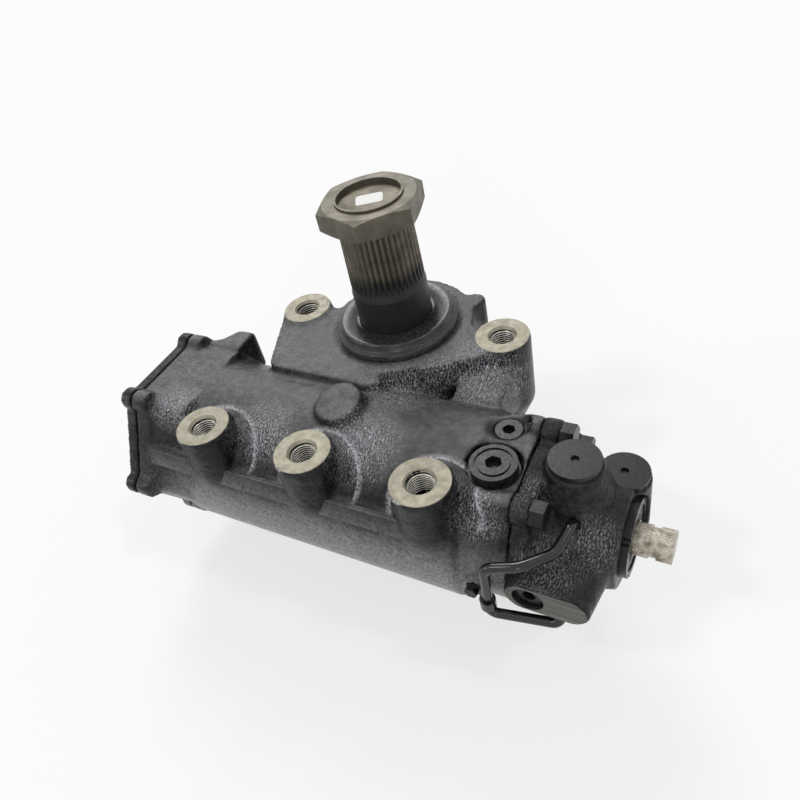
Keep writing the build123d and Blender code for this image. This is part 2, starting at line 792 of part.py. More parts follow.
def pitman_nut():
    """Large hexagon nut with bevelled corners and a thin collar round its hole."""
    top = nut_top - collar_height
    corner = nut_flats / 2 / math.cos(math.radians(30))
    prism = xy_plate(Rot(0, 0, nut_turn) * hexagon(nut_flats), nut_bottom, top)
    reach = corner - nut_flats / 2 + 1
    bevel_top = z_cone(corner + nut_bevel, nut_flats / 2 - 1, top - nut_bevel, top + 0.2)
    bevel_low = z_cone(nut_flats / 2 - 1, corner + nut_bevel, nut_bottom - 0.2, nut_bottom + nut_bevel)
    middle = z_rod(corner + reach, nut_bottom + nut_bevel, top - nut_bevel)
    nut = prism & union([bevel_low, middle, bevel_top])
    nut += z_rod(collar_radius, top - 1, nut_top)
    nut -= z_rod(output_thread_radius + thread_gap, nut_bottom, nut_top)
    return nut


def needle_ring(z0):
    """Full set of needle rollers round a journal of the output shaft, drawn as one ring."""
    inner = journal_radius + running_gap
    return z_ring(inner + 2 * needle_radius, inner, z0, z0 + needle_length)


def output_seal():
    """Rubber lip seal under the dust cap."""
    hollow = neck_radius + seal_hollow
    body = z_ring(seal_radius - spigot_gap, hollow, seal_bottom, -plate_drop - cap_seat_depth - 1)
    lip = z_ring(hollow + 1, journal_radius + running_gap, seal_bottom, seal_bottom + seal_lip)
    return body + lip


def dust_cap():
    """Stepped cap that sits in the top plate over the shaft seal."""
    low = -plate_drop - cap_seat_depth
    wall = z_ring(cap_radius, cap_radius - cap_wall, low, cap_top)
    roof = z_ring(cap_radius - 1, neck_radius + seat_gap, cap_top - cap_wall, cap_top - cap_dish)
    lip = z_ring(neck_radius + cap_lip, neck_radius + seat_gap, cap_top - 2 * cap_wall, cap_top - cap_wall)
    return wall + roof + lip


def side_cover():
    """Round cover under the sector chamber, with the lower journal bearing in its hub."""
    plate = z_rod(side_flange_radius, side_face, housing_bottom)
    spigot = z_rod(chamber_radius - spigot_gap, housing_bottom, housing_bottom + side_spigot_length)
    neck = z_rod(cup_radius + side_neck_wall, housing_bottom, side_spigot_top)
    hub = z_cone(side_hub_radius, side_hub_radius + side_hub_spread, side_hub_end, side_face)
    body = plate + spigot + neck + hub
    body -= z_rod(cup_radius + spigot_gap, lower_journal_end, side_spigot_top)
    body -= z_rod(journal_radius + seat_gap, lower_journal_end - seat_gap, side_spigot_top)
    body -= z_rod(adjuster_radius + thread_gap, side_hub_end, side_spigot_top)
    body -= z_ring(chamber_radius + 1, chamber_radius - seal_depth, side_groove, side_groove + seal_width)
    for x, y in side_places:
        body -= z_rod(side_bolt_radius + thread_gap, side_face, housing_bottom, x, y)
    return body


def side_cover_seal():
    """Rubber ring in the groove of the side cover spigot."""
    return z_ring(chamber_radius - seal_touch, chamber_radius - seal_depth, side_groove, side_groove + seal_width)


def side_bolts():
    """Eight hexagon bolts of the side cover."""
    bolts = []
    for x, y in side_places:
        head = xy_plate(Pos(x, y) * hexagon(side_head_flats), side_face - side_head_height, side_face)
        bolts.append(head + z_rod(side_bolt_radius, side_face, side_face + side_bolt_length, x, y))
    return bolts


def adjusting_screw():
    """Screw whose flat head sits in the pocket of the output shaft."""
    head = z_rod(adjuster_head_radius, adjuster_head_bottom, adjuster_head_bottom + adjuster_head_height)
    screw = head + z_rod(adjuster_radius, adjuster_tip, adjuster_head_bottom)
    return screw - xy_plate(hexagon(adjuster_key), adjuster_tip, adjuster_tip + key_depth)


def adjusting_locknut():
    """Sealing nut on the adjusting screw."""
    nut = xy_plate(hexagon(adjuster_nut_flats), side_hub_end - adjuster_nut_height, side_hub_end)
    return nut - z_rod(adjuster_radius + thread_gap, side_hub_end - adjuster_nut_height, side_hub_end)


def adjuster_retainer():
    """Ring that traps the head of the adjusting screw in the output shaft."""
    return z_ring(adjuster_head_radius + running_gap, adjuster_radius + seat_gap, lower_journal_end,
                  lower_journal_end + retainer_thickness)


def ball_track(x0, turns):
    """Helical tube about the bore axis that cuts the ball track."""
    path = Helix(pitch=worm_lead, height=worm_lead * turns, radius=ball_circle)
    start = Plane(origin=path @ 0, z_dir=path % 0)
    tube = sweep(start * RegularPolygon(groove_radius, 6), path=path, is_frenet=True)
    return Pos(x0, bore_y, bore_z) * Rot(0, 90, 0) * Rot(0, 0, 360 * x0 / worm_lead) * tube


def rack_piston():
    """Piston with rack teeth on its side and the ball nut track in its bore."""
    body = x_rod(bore_radius - running_gap, piston_start, piston_end)
    body = chamfer(body.edges().filter_by(GeomType.CIRCLE), piston_chamfer)
    slope = math.tan(math.radians(pressure_angle))
    deep = rack_line - dedendum
    high = bore_radius + 1
    at_line = tooth_pitch / 4 + tooth_backlash / 4
    frame = Plane(origin=(0, bore_y, bore_z - bore_radius), x_dir=(1, 0, 0), z_dir=(0, 0, 1))
    for k in range(sector_teeth):
        x = tooth_pitch * (k - sector_teeth // 2)
        low = at_line - dedendum * slope
        top = at_line + (high - rack_line) * slope
        space = make_face(Polyline(
            (x - low, deep), (x + low, deep), (x + top, high), (x - top, high), close=True))
        body -= extrude(frame * space, 2 * bore_radius)
    body -= ball_track(nut_groove_start, nut_turns)
    body -= x_rod(nut_bore_radius, piston_start + piston_crown, piston_end)
    body -= x_ring(bore_radius + 1, bore_radius - seal_depth, piston_ring_place, piston_ring_place + seal_width)
    for x in tube_ends:
        body -= y_rod(tube_radius + thread_gap, bore_y - bore_radius, bore_y, x, bore_z)
    saddle = block(tube_ends[0] - tube_radius - 1, tube_ends[1] + tube_radius + 1, bore_y - bore_radius,
                   tube_saddle_y, bore_z - tube_radius - 1, bore_z + tube_radius + 1)
    return body - saddle


def ball_return_tube():
    """Bent tube that takes the balls from one end of the track back to the other."""
    rise = tube_saddle_y - tube_radius - 1
    path = FilletPolyline((tube_ends[0], tube_foot, bore_z), (tube_ends[0], rise, bore_z),
                          (tube_ends[1], rise, bore_z), (tube_ends[1], tube_foot, bore_z),
                          radius=tube_radius + 1)
    start = Plane(origin=path @ 0, z_dir=path % 0)
    return sweep(start * RegularPolygon(tube_radius, 8), path=path)


def recirculating_balls():
    """Balls in the track between worm and piston, one loaded circuit."""
    balls = []
    for k in range(balls_per_turn * nut_turns):
        x = nut_groove_start + worm_lead * (k + 0.5) / balls_per_turn
        turn = 2 * math.pi * x / worm_lead
        place = (x, bore_y + ball_circle * math.sin(turn), bore_z - ball_circle * math.cos(turn))
        balls.append(Pos(*place) * Sphere(ball_radius))
    return balls


def worm_shaft():
    """Worm with its ball track, thrust flange and the tail that carries the valve sleeve."""
    body = union([
        x_rod(worm_radius, worm_start, worm_flange_left),
        x_rod(worm_flange_radius, worm_flange_left, worm_flange_left + worm_flange_width),
        x_rod(worm_tail_radius, worm_flange_left, worm_tail_end),
    ])
    body -= ball_track(worm_thread_start, worm_turns)
    body -= x_rod(bar_head_radius + thread_gap, bar_start - bar_socket, worm_tail_end)
    body -= x_rod(tang_radius + running_gap, tang_start - seat_gap, worm_tail_end)
    body += tang_dogs(tang_notch_half - tang_play, tang_start - seat_gap, dog_end)
    body -= z_rod(pin_radius + thread_gap, bore_z - worm_radius, bore_z + worm_radius, worm_pin_x, bore_y)
    body -= z_rod(pin_radius + thread_gap, bore_z - worm_tail_radius, bore_z - bar_head_radius - 4,
                  sleeve_pin_x, bore_y)
    return body


def tang_dogs(half_angle, x0, x1):
    """Two dogs inside the worm tail that stop the input shaft."""
    dogs = []
    for side in (0, 180):
        a0 = math.radians(side - half_angle)
        a1 = math.radians(side + half_angle)
        middle = math.radians(side)
        inner = tang_radius - tang_step
        outer = tang_radius + 2
        face = make_face([
            Line((inner * math.cos(a0), inner * math.sin(a0)), (outer * math.cos(a0), outer * math.sin(a0))),
            ThreePointArc((outer * math.cos(a0), outer * math.sin(a0)),
                          (outer * math.cos(middle), outer * math.sin(middle)),
                          (outer * math.cos(a1), outer * math.sin(a1))),
            Line((outer * math.cos(a1), outer * math.sin(a1)), (inner * math.cos(a1), inner * math.sin(a1))),
            ThreePointArc((inner * math.cos(a1), inner * math.sin(a1)),
                          (inner * math.cos(middle), inner * math.sin(middle)),
                          (inner * math.cos(a0), inner * math.sin(a0))),
        ])
        dogs.append(yz_plate(Pos(bore_y, bore_z) * face, x0, x1))
    return dogs[0] + dogs[1]


def input_shaft():
    """Input shaft with its slotted valve rotor, dogged tail and splined end."""
    body = union([
        x_rod(tang_radius, tang_start, rotor_start),
        x_rod(rotor_radius, rotor_start, sleeve_end),
        x_rod(input_journal_radius, sleeve_end, adjuster_ring_end + 1),
        x_rod(input_radius, adjuster_ring_end, input_end),
    ])
    for side in (0, 180):
        body -= tang_notch(side)
    for y, z in bore_places(rotor_radius, rotor_slots, 15):
        body -= x_rod(slot_depth, rotor_start + slot_land, sleeve_end - slot_land, y, z)
    body -= x_ring(input_radius + 1, input_radius - input_groove_depth, input_groove_start,
                   input_groove_start + input_groove_width)
    body -= x_rod(bar_radius + bar_bore_gap, tang_start, bar_end)
    body -= x_rod(bar_head_radius + seat_gap, bar_end - bar_head_length - 2, bar_end + seat_gap)
    body -= z_rod(pin_radius + thread_gap, bore_z - input_journal_radius, bore_z + input_journal_radius,
                  input_pin_x, bore_y)
    return body


def tang_notch(side):
    """Wide notch in the tail of the input shaft, open to one dog of the worm."""
    half = math.radians(tang_notch_half)
    reach = tang_radius / math.cos(half) + 1
    turns = [math.radians(side) - half, math.radians(side) + half]
    corner = [(reach * math.cos(turn), reach * math.sin(turn)) for turn in turns]
    inner = tang_radius - tang_step - seat_gap
    wedge = make_face(Polyline((0, 0), corner[0], corner[1], close=True)) - Circle(inner)
    return yz_plate(Pos(bore_y, bore_z) * wedge, tang_start, dog_end + seat_gap)


def torsion_bar():
    """Spring steel bar pinned to the worm and to the input shaft."""
    body = union([
        x_rod(bar_head_radius, bar_start, bar_start + bar_head_length),
        x_rod(bar_radius, bar_start + bar_head_length, bar_end - bar_head_length),
        x_rod(bar_head_radius, bar_end - bar_head_length, bar_end),
    ])
    low = bore_z - bar_head_radius
    high = bore_z + bar_head_radius
    body -= z_rod(pin_radius + thread_gap, low, high, worm_pin_x, bore_y)
    body -= z_rod(pin_radius + pin_play, low, high, input_pin_x, bore_y)
    return body


def cross_pin(x, radius):
    """Pin across the bore axis."""
    return z_rod(pin_radius, bore_z - radius + 0.5, bore_z + radius - 0.5, x, bore_y)


def valve_sleeve():
    """Valve sleeve round the rotor, with a groove for each port."""
    body = x_ring(sleeve_radius, rotor_radius + running_gap, sleeve_start, sleeve_end)
    body -= x_rod(worm_tail_radius + spigot_gap, sleeve_start, worm_tail_end + seat_gap)
    for start in sleeve_grooves:
        x = sleeve_start + start
        body -= x_ring(sleeve_radius + 1, sleeve_radius - sleeve_groove_depth, x, x + sleeve_groove_width)
    body -= z_rod(pin_radius + thread_gap, bore_z - sleeve_radius, bore_z - worm_tail_radius + 1,
                  sleeve_pin_x, bore_y)
    return body


def thrust_bearing(x0):
    """Thrust bearing as a ring with its roller pockets closed."""
    return x_ring(thrust_radius, thrust_inner, x0, x0 + thrust_width - bearing_gap)


def valve_housing():
    """Cast valve housing with its joint flange, two port bosses and the limiter block."""
    spigot = x_rod(throat_bore - spigot_gap, valve_spigot_start, housing_right)
    waist = x_cone(valve_waist_radius + valve_flare, valve_waist_radius, valve_face, valve_waist_end)
    barrel = x_cone(valve_waist_radius, valve_barrel_radius, valve_waist_end, valve_end)
    px, py, pz = pressure_port
    rx, ry, rz = return_port
    spread = port_boss_radius + port_boss_spread
    pressure_boss = z_cone(spread, port_boss_radius, pz - port_boss_drop, pz, px, py)
    pressure_root = z_rod(spread, bore_z, pz - port_boss_drop, px, py)
    return_boss = z_rod(port_boss_radius, bore_z - 20, rz, rx, ry)
    face = Plane(origin=(0, pad_face_y, 0), x_dir=(-1, 0, 0), z_dir=(0, 1, 0))
    middle = Pos(-(pad_left + pad_right) / 2, pad_z)
    outline = middle * SlotOverall(pad_right - pad_left, pad_height)
    pad = extrude(face * outline, pad_reach - pad_root, taper=-pad_draft)
    outside = union([joint_flange(housing_right, valve_face), waist, barrel, pressure_boss, pressure_root,
                     return_boss, pad] + [socket(*end) for end in pipe_ends])
    outside -= x_rod(2 * throat_radius, housing_right - joint_lobe_length, housing_right)
    body = outside + spigot
    body -= x_rod(adjuster_ring_radius + 1, valve_end, valve_end + 20)
    body -= x_rod(valve_bearing_bore, valve_spigot_start, valve_shoulder)
    body -= x_rod(worm_tail_radius + running_gap, valve_shoulder, valve_end)
    body -= x_rod(valve_bore_radius, sleeve_start - seat_gap, valve_end)
    body -= z_rod(port_hole_radius, pz - port_hole_depth, pz, px, py)
    body -= z_rod(port_hole_radius, rz - port_hole_depth, rz, rx, ry)
    body -= z_rod(port_cap_radius + 1, rz, rz + 20, rx, ry)
    body -= y_rod(pad_plug_radius + thread_gap, pad_face_y, pad_face_y + pad_plug_length, pad_plug_x, pad_z)
    for y, z in joint_places:
        body -= x_rod(joint_bolt_radius + thread_gap, housing_right, valve_face, y, z)
        body -= x_rod(joint_head_flats / 2 + 2, valve_face, valve_face + joint_head_height + 1, y, z)
    return body - pipe_run(pipe_radius + thread_gap)


def socket(place, along):
    """Round socket for an end of the pipe."""
    return Plane(origin=place, z_dir=along) * Cylinder(pipe_socket_radius, 2 * pipe_socket_reach)


def pipe_run(radius):
    """Round rod along the pipe: straight runs joined by arcs."""
    path = FilletPolyline(*pipe_points, radius=list(pipe_bends))
    start = Plane(origin=path @ 0, z_dir=path % 0)
    return sweep(start * Circle(radius), path=path)


def joint_bolts():
    """Five hexagon bolts that hold the valve housing."""
    bolts = []
    for y, z in joint_places:
        head = yz_plate(Pos(y, z) * hexagon(joint_head_flats), valve_face, valve_face + joint_head_height)
        bolts.append(head + x_rod(joint_bolt_radius, valve_face - joint_bolt_length, valve_face, y, z))
    return bolts


def port_cap(place):
    """Plastic transport cap with a small socket in its face."""
    x, y, z = place
    lid = z_rod(port_cap_radius, z, z + port_cap_height, x, y)
    stem = z_rod(port_hole_radius - thread_gap, z - port_cap_stem, z, x, y)
    top = z + port_cap_height
    return lid + stem - xy_plate(Pos(x, y) * hexagon(port_cap_key), top - 2, top)


def gallery_plug_body():
    """Hexagon-socket screw plug sunk in its boss."""
    x, y, z = gallery_plug
    top = z - gallery_plug_sink
    plug = z_rod(gallery_plug_radius, z - gallery_plug_length, top, x, y)
    return plug - xy_plate(Pos(x, y) * hexagon(gallery_plug_key), top - key_depth, top)


def relief_plug_body():
    """Large screw plug over the relief valve, with a turned head."""
    x, y, z = relief_plug
    base = z + relief_washer_height
    top = base + relief_head_height
    outer, inner, depth = relief_groove
    head = z_rod(relief_head_radius, base, top, x, y)
    head -= z_ring(outer, inner, top - depth, top).moved(Location((x, y, 0)))
    stem = z_rod(relief_stem_radius, z - relief_stem_length + 1, base, x, y)
    return head + stem - xy_plate(Pos(x, y) * hexagon(relief_key), top - key_depth, top)


def relief_washer():
    """Sealing washer under the relief plug."""
    x, y, z = relief_plug
    washer = z_rod(relief_boss_radius - 1, z, z + relief_washer_height, x, y)
    return washer - z_rod(relief_stem_radius + thread_gap, z, z + relief_washer_height, x, y)


def limiter_plug():
    """Socket plug sunk in the pad of the limiter block."""
    face = pad_face_y + pad_plug_sink
    plug = y_rod(pad_plug_radius, face, pad_face_y + pad_plug_length, pad_plug_x, pad_z)
    return plug - xz_plate(Pos(pad_plug_x, pad_z) * hexagon(pad_plug_key), face + key_depth, face)


def adjuster_plug():
    """Threaded plug that closes the valve bore and carries the input bearing and seal."""
    body = x_rod(valve_bore_radius - thread_gap, adjuster_plug_start, adjuster_plug_end)
    seat = adjuster_plug_end - input_seal_width
    body -= x_rod(input_bearing_radius + spigot_gap, adjuster_plug_start, seat)
    body -= x_rod(input_journal_radius + input_seal_wall, adjuster_plug_start, adjuster_plug_end)
    return body


def adjuster_ring():
    """Lock ring on the outside of the adjuster plug, with four spanner slots."""
    ring = x_ring(adjuster_ring_radius, valve_bore_radius, valve_end, adjuster_ring_end)
    for y, z in bore_places(adjuster_ring_radius, 4, 45):
        ring -= x_rod(spanner_slot_radius, valve_end, adjuster_ring_end, y, z)
    return ring


def input_bearing():
    """Needle bearing round the input shaft."""
    return x_ring(input_bearing_radius, input_journal_radius + running_gap, adjuster_plug_start,
                  adjuster_plug_end - input_seal_width)


def input_seal():
    """Rubber seal round the input shaft."""
    return x_ring(input_journal_radius + input_seal_wall - seal_touch, input_journal_radius + running_gap,
                  adjuster_plug_end - input_seal_width + seat_gap, adjuster_plug_end)


def bearing_nut():
    """Threaded ring that holds the worm bearings in the valve housing."""
    return x_ring(valve_bearing_bore - thread_gap, thrust_inner, valve_spigot_start, bearing_nut_right)


def pipe_place(z):
    """Where the upright run of the pipe passes a height, as (x, y)."""
    (x0, y0, z0), (x1, y1, z1) = pipe_points[4], pipe_points[5]
    part = (z - z0) / (z1 - z0)
    return x0 + part * (x1 - x0), y0 + part * (y1 - y0)


def pipe_clip():
    """Sheet steel clip round the pipe, with its foot on a small boss of the housing."""
    bx, by, bz = clip_boss
    x, y = pipe_place(bz)
    low = bz - clip_height / 2
    high = bz + clip_height / 2
    inner = pipe_radius + seat_gap
    loop = z_rod(inner + clip_sheet, low, high, x, y)
    foot = block(bx - clip_height / 2, x, by - clip_sheet, by, low, high)
    body = loop + foot - z_rod(inner, low, high, x, y)
    return body - y_rod(clip_screw_radius + thread_gap, by - clip_sheet, by, bx, bz)


def pipe_clip_screw():
    """Small hexagon screw of the clip."""
    bx, by, bz = clip_boss
    face = by - clip_sheet
    head = xz_plate(Pos(bx, bz) * hexagon(clip_screw_flats), face, face - clip_head_height)
    return head + y_rod(clip_screw_radius, face, by + clip_screw_length - 1, bx, bz)


export = {
    "housing": housing(),
    "end_cover": end_cover(),
    "end_cover_seal": end_cover_seal(),
    "end_cover_screws": end_cover_screws(),
    "stop_screw": stop_screw(),
    "stop_locknut": stop_locknut(),
    "side_cover": side_cover(),
    "side_cover_seal": side_cover_seal(),
    "side_cover_bolts": side_bolts(),
    "adjusting_screw": adjusting_screw(),
    "adjusting_locknut": adjusting_locknut(),
    "adjuster_retainer": adjuster_retainer(),
    "sector_shaft": sector_shaft(),
    "pitman_nut": pitman_nut(),
    "upper_bearing_cup": z_ring(cup_radius, cup_inner, chamber_top, upper_cup_top),
    "upper_bearing_needles": needle_ring(chamber_top + 2),
    "lower_bearing_cup": z_ring(cup_radius, cup_inner, lower_journal_end, lower_cup_top),
    "lower_bearing_needles": needle_ring(lower_journal_end + 0.5),
    "output_seal": output_seal(),
    "dust_cap": dust_cap(),
    "rack_piston": rack_piston(),
    "piston_ring": x_ring(bore_radius - seal_touch, bore_radius - seal_depth, piston_ring_place + bearing_gap,
                          piston_ring_place + seal_width - bearing_gap),
    "ball_return_tube": ball_return_tube(),
    "recirculating_balls": recirculating_balls(),
    "worm_shaft": worm_shaft(),
    "rear_thrust_bearing": thrust_bearing(worm_flange_left - thrust_width),
    "front_thrust_bearing": thrust_bearing(worm_flange_left + worm_flange_width + bearing_gap),
    "bearing_nut": bearing_nut(),
    "torsion_bar": torsion_bar(),
    "worm_pin": cross_pin(worm_pin_x, worm_radius),
    "input_pin": cross_pin(input_pin_x, input_journal_radius),
    "valve_sleeve": valve_sleeve(),
    "input_shaft": input_shaft(),
    "valve_housing": valve_housing(),
    "valve_housing_bolts": joint_bolts(),
    "adjuster_plug": adjuster_plug(),
    "adjuster_ring": adjuster_ring(),
    "input_bearing": input_bearing(),
    "input_seal": input_seal(),
    "pressure_port_cap": port_cap(pressure_port),
    "return_port_cap": port_cap(return_port),
    "gallery_plug": gallery_plug_body(),
    "relief_plug": relief_plug_body(),
    "relief_washer": relief_washer(),
    "limiter_plug": limiter_plug(),
    "transfer_pipe": pipe_run(pipe_radius),
    "pipe_clip": pipe_clip(),
    "pipe_clip_screw": pipe_clip_screw(),
}
for name, shape in export.items():
    if isinstance(shape, list):
        shape = Compound(children=shape)
    export_step(shape, f"parts/{name}.step")
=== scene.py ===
import math

import bmesh
import bpy
from mathutils import Matrix, Vector


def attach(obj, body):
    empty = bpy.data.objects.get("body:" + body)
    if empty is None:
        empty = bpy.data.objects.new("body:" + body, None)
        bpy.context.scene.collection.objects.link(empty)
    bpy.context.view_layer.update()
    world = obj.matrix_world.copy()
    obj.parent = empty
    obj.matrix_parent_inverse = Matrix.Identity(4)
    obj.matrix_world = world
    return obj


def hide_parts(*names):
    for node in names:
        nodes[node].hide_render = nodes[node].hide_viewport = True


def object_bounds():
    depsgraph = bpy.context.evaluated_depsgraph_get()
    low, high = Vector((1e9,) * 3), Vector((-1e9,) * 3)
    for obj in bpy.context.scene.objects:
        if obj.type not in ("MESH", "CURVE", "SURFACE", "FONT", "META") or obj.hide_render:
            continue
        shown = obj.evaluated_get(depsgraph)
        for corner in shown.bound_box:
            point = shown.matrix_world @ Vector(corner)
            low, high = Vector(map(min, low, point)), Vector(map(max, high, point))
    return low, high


# Steering gear of a heavy truck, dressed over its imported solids, in metres.
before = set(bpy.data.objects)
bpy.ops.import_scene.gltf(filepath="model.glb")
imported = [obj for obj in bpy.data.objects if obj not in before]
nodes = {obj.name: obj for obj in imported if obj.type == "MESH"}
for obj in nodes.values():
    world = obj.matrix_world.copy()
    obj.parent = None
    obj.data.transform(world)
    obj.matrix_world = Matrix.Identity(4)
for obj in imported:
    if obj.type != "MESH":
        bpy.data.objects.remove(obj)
cad_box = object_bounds()


# Main housing: one iron casting, painted satin black all over before its faces are machined.
# The sand mould leaves a coarse skin and soft inside corners. The milling cutter leaves the two
# end faces flat, and the piston bore is honed square at the step where it ends.
housing_voxel = 0.0023
housing_left, housing_right = -0.172, 0.145
face_cut = 0.0002
bore_y, bore_z = -0.100, -0.068
piston_bore, bore_end = 0.0562, 0.1126
corner_reach, corner_depth = 0.005, 0.010
skin_depth = 0.0006
paint_dark = (0.004, 0.004, 0.005, 1)
paint_grey = (0.030, 0.030, 0.031, 1)
# Painted light on upward faces: a dark top on most castings, a light sheen on the housing and ledge.
painted_dark_top = (0.010, 0.010, 0.011, 1)
painted_sheen = (0.135, 0.134, 0.136, 1)
# Colour of the painted glints on ripples, and of the painted highlights on ridges.
painted_glint = (0.640, 0.640, 0.680, 1)
low_pale_grey = (0.235, 0.232, 0.226, 1)
# The housing is paler grey below the lower height, less so up to the upper one, and most of all on
# the front of the barrel.
housing_pale_top, housing_pale_low = -0.036, -0.062
paler_side = ((-0.010, -0.200, -0.100, 0.300),)
# Patches of painted glints on ripples in the paint: the middle and the reach of each.
housing_patches = (
    (-0.050, -0.132, -0.014, 0.032), (0.032, -0.124, -0.010, 0.035), (-0.135, -0.133, -0.004, 0.026),
    (0.082, -0.029, -0.018, 0.038), (0.033, -0.068, -0.012, 0.034), (0.058, -0.048, -0.012, 0.030),
    (0.121, -0.140, -0.024, 0.026), (0.098, -0.020, -0.030, 0.026))
# Hollows of the real casting, which are painted here and not cut: painted shade makes them black
# beside the boss columns, above the parting ledge and behind the end flange. The hollows beside the
# columns also have a pale ridge, a painted highlight, which shows above the ledge only.
column_shade_spots = (
    (-0.085, -0.1485, -0.024, 0.0310), (0.005, -0.1485, -0.024, 0.0310), (0.095, -0.1485, -0.024, 0.0310))
housing_shade_spots = column_shade_spots + (
    (-0.045, -0.156, -0.036, 0.020), (0.045, -0.156, -0.036, 0.020), (-0.148, -0.160, -0.040, 0.034),
    (-0.162, -0.172, -0.050, 0.052), (-0.162, -0.165, -0.088, 0.046), (0.128, -0.150, -0.070, 0.020))
full_share = 0.3
ridge_crest, ridge_foot = 0.001, 0.005
ridge_low, ridge_top = -0.036, -0.030


def new_material(name, rough, metal=0.0, specular=0.5):
    """A principled material and the parts of it that the recipes below join up."""
    material = bpy.data.materials.new(name)
    material.use_nodes = True
    tree = material.node_tree
    shader = tree.nodes["Principled BSDF"]
    shader.inputs["Roughness"].default_value = rough
    shader.inputs["Metallic"].default_value = metal
    shader.inputs["Specular IOR Level"].default_value = specular
    place = tree.nodes.new("ShaderNodeTexCoord")
    return material, tree, shader, place.outputs["Object"]


def noise(tree, where, scale, detail=4.0, rough=0.55):
    """Noise of so many grains to the metre."""
    node = tree.nodes.new("ShaderNodeTexNoise")
    node.inputs["Scale"].default_value = scale
    node.inputs["Detail"].default_value = detail
    node.inputs["Roughness"].default_value = rough
    tree.links.new(where, node.inputs["Vector"])
    return node.outputs["Fac"]


def ripple(tree, where):
    """Bent waves, as paint sags over a rough skin."""
    node = tree.nodes.new("ShaderNodeTexWave")
    for socket, value in (("Scale", 165), ("Distortion", 12), ("Detail", 4), ("Detail Scale", 1.5)):
        node.inputs[socket].default_value = value
    tree.links.new(where, node.inputs["Vector"])
    return node.outputs["Fac"]


def ramp(tree, value, low, high, stops):
    """Colours spread between two values of a texture."""
    node = tree.nodes.new("ShaderNodeValToRGB")
    node.color_ramp.elements[0].position = low
    node.color_ramp.elements[1].position = high
    node.color_ramp.elements[0].color = stops[0]
    node.color_ramp.elements[1].color = stops[1]
    tree.links.new(value, node.inputs["Fac"])
    return node.outputs["Color"]


def spread(tree, value, low, high, out_low, out_high):
    """A texture value carried from one range to another."""
    node = tree.nodes.new("ShaderNodeMapRange")
    node.inputs["From Min"].default_value = low
    node.inputs["From Max"].default_value = high
    node.inputs["To Min"].default_value = out_low
    node.inputs["To Max"].default_value = out_high
    tree.links.new(value, node.inputs["Value"])
    return node.outputs["Result"]


def combine(tree, operation, first, second):
    """Two values joined by one operation."""
    node = tree.nodes.new("ShaderNodeMath")
    node.operation = operation
    tree.links.new(first, node.inputs[0])
    tree.links.new(second, node.inputs[1])
    return node.outputs[0]


def blend(tree, share, first, second):
    """A colour mixed with a plain one by a texture."""
    node = tree.nodes.new("ShaderNodeMixRGB")
    tree.links.new(share, node.inputs["Fac"])
    tree.links.new(first, node.inputs["Color1"])
    node.inputs["Color2"].default_value = second
    return node.outputs["Color"]


def bump(tree, shader, height, depth, under=None):
    """Raises the surface by a texture, on top of another bump where one is given."""
    node = tree.nodes.new("ShaderNodeBump")
    node.inputs["Strength"].default_value = 1.0
    node.inputs["Distance"].default_value = depth
    tree.links.new(height, node.inputs["Height"])
    if under is not None:
        tree.links.new(under, node.inputs["Normal"])
    tree.links.new(node.outputs["Normal"], shader.inputs["Normal"])
    return node.outputs["Normal"]


def distance_from(tree, where, middle):
    """How far a point of the gear is from the middle of a spot."""
    node = tree.nodes.new("ShaderNodeVectorMath")
    node.operation = "DISTANCE"
    node.inputs[1].default_value = middle
    tree.links.new(where, node.inputs[0])
    return node.outputs["Value"]


def near(tree, where, spots):
    """One at the middle of each spot, falling to nothing at its reach."""
    share = None
    for *middle, reach in spots:
        gap = distance_from(tree, where, middle)
        spot = spread(tree, gap, full_share * reach, reach, 1.0, 0.0)
        share = spot if share is None else combine(tree, "MAXIMUM", share, spot)
    return share


def ridges(tree, where, spots):
    """A thin bright line round each spot: a painted highlight."""
    share = None
    for *middle, reach in spots:
        gap = distance_from(tree, where, middle)
        rise = spread(tree, gap, reach, reach + ridge_crest, 0.0, 1.0)
        fall = spread(tree, gap, reach + ridge_crest, reach + ridge_foot, 1.0, 0.0)
        line = combine(tree, "MINIMUM", rise, fall)
        share = line if share is None else combine(tree, "MAXIMUM", share, line)
    return share


def height_of(tree, vector):
    """The upright part of a place or of a direction."""
    node = tree.nodes.new("ShaderNodeSeparateXYZ")
    tree.links.new(vector, node.inputs[0])
    return node.outputs["Z"]


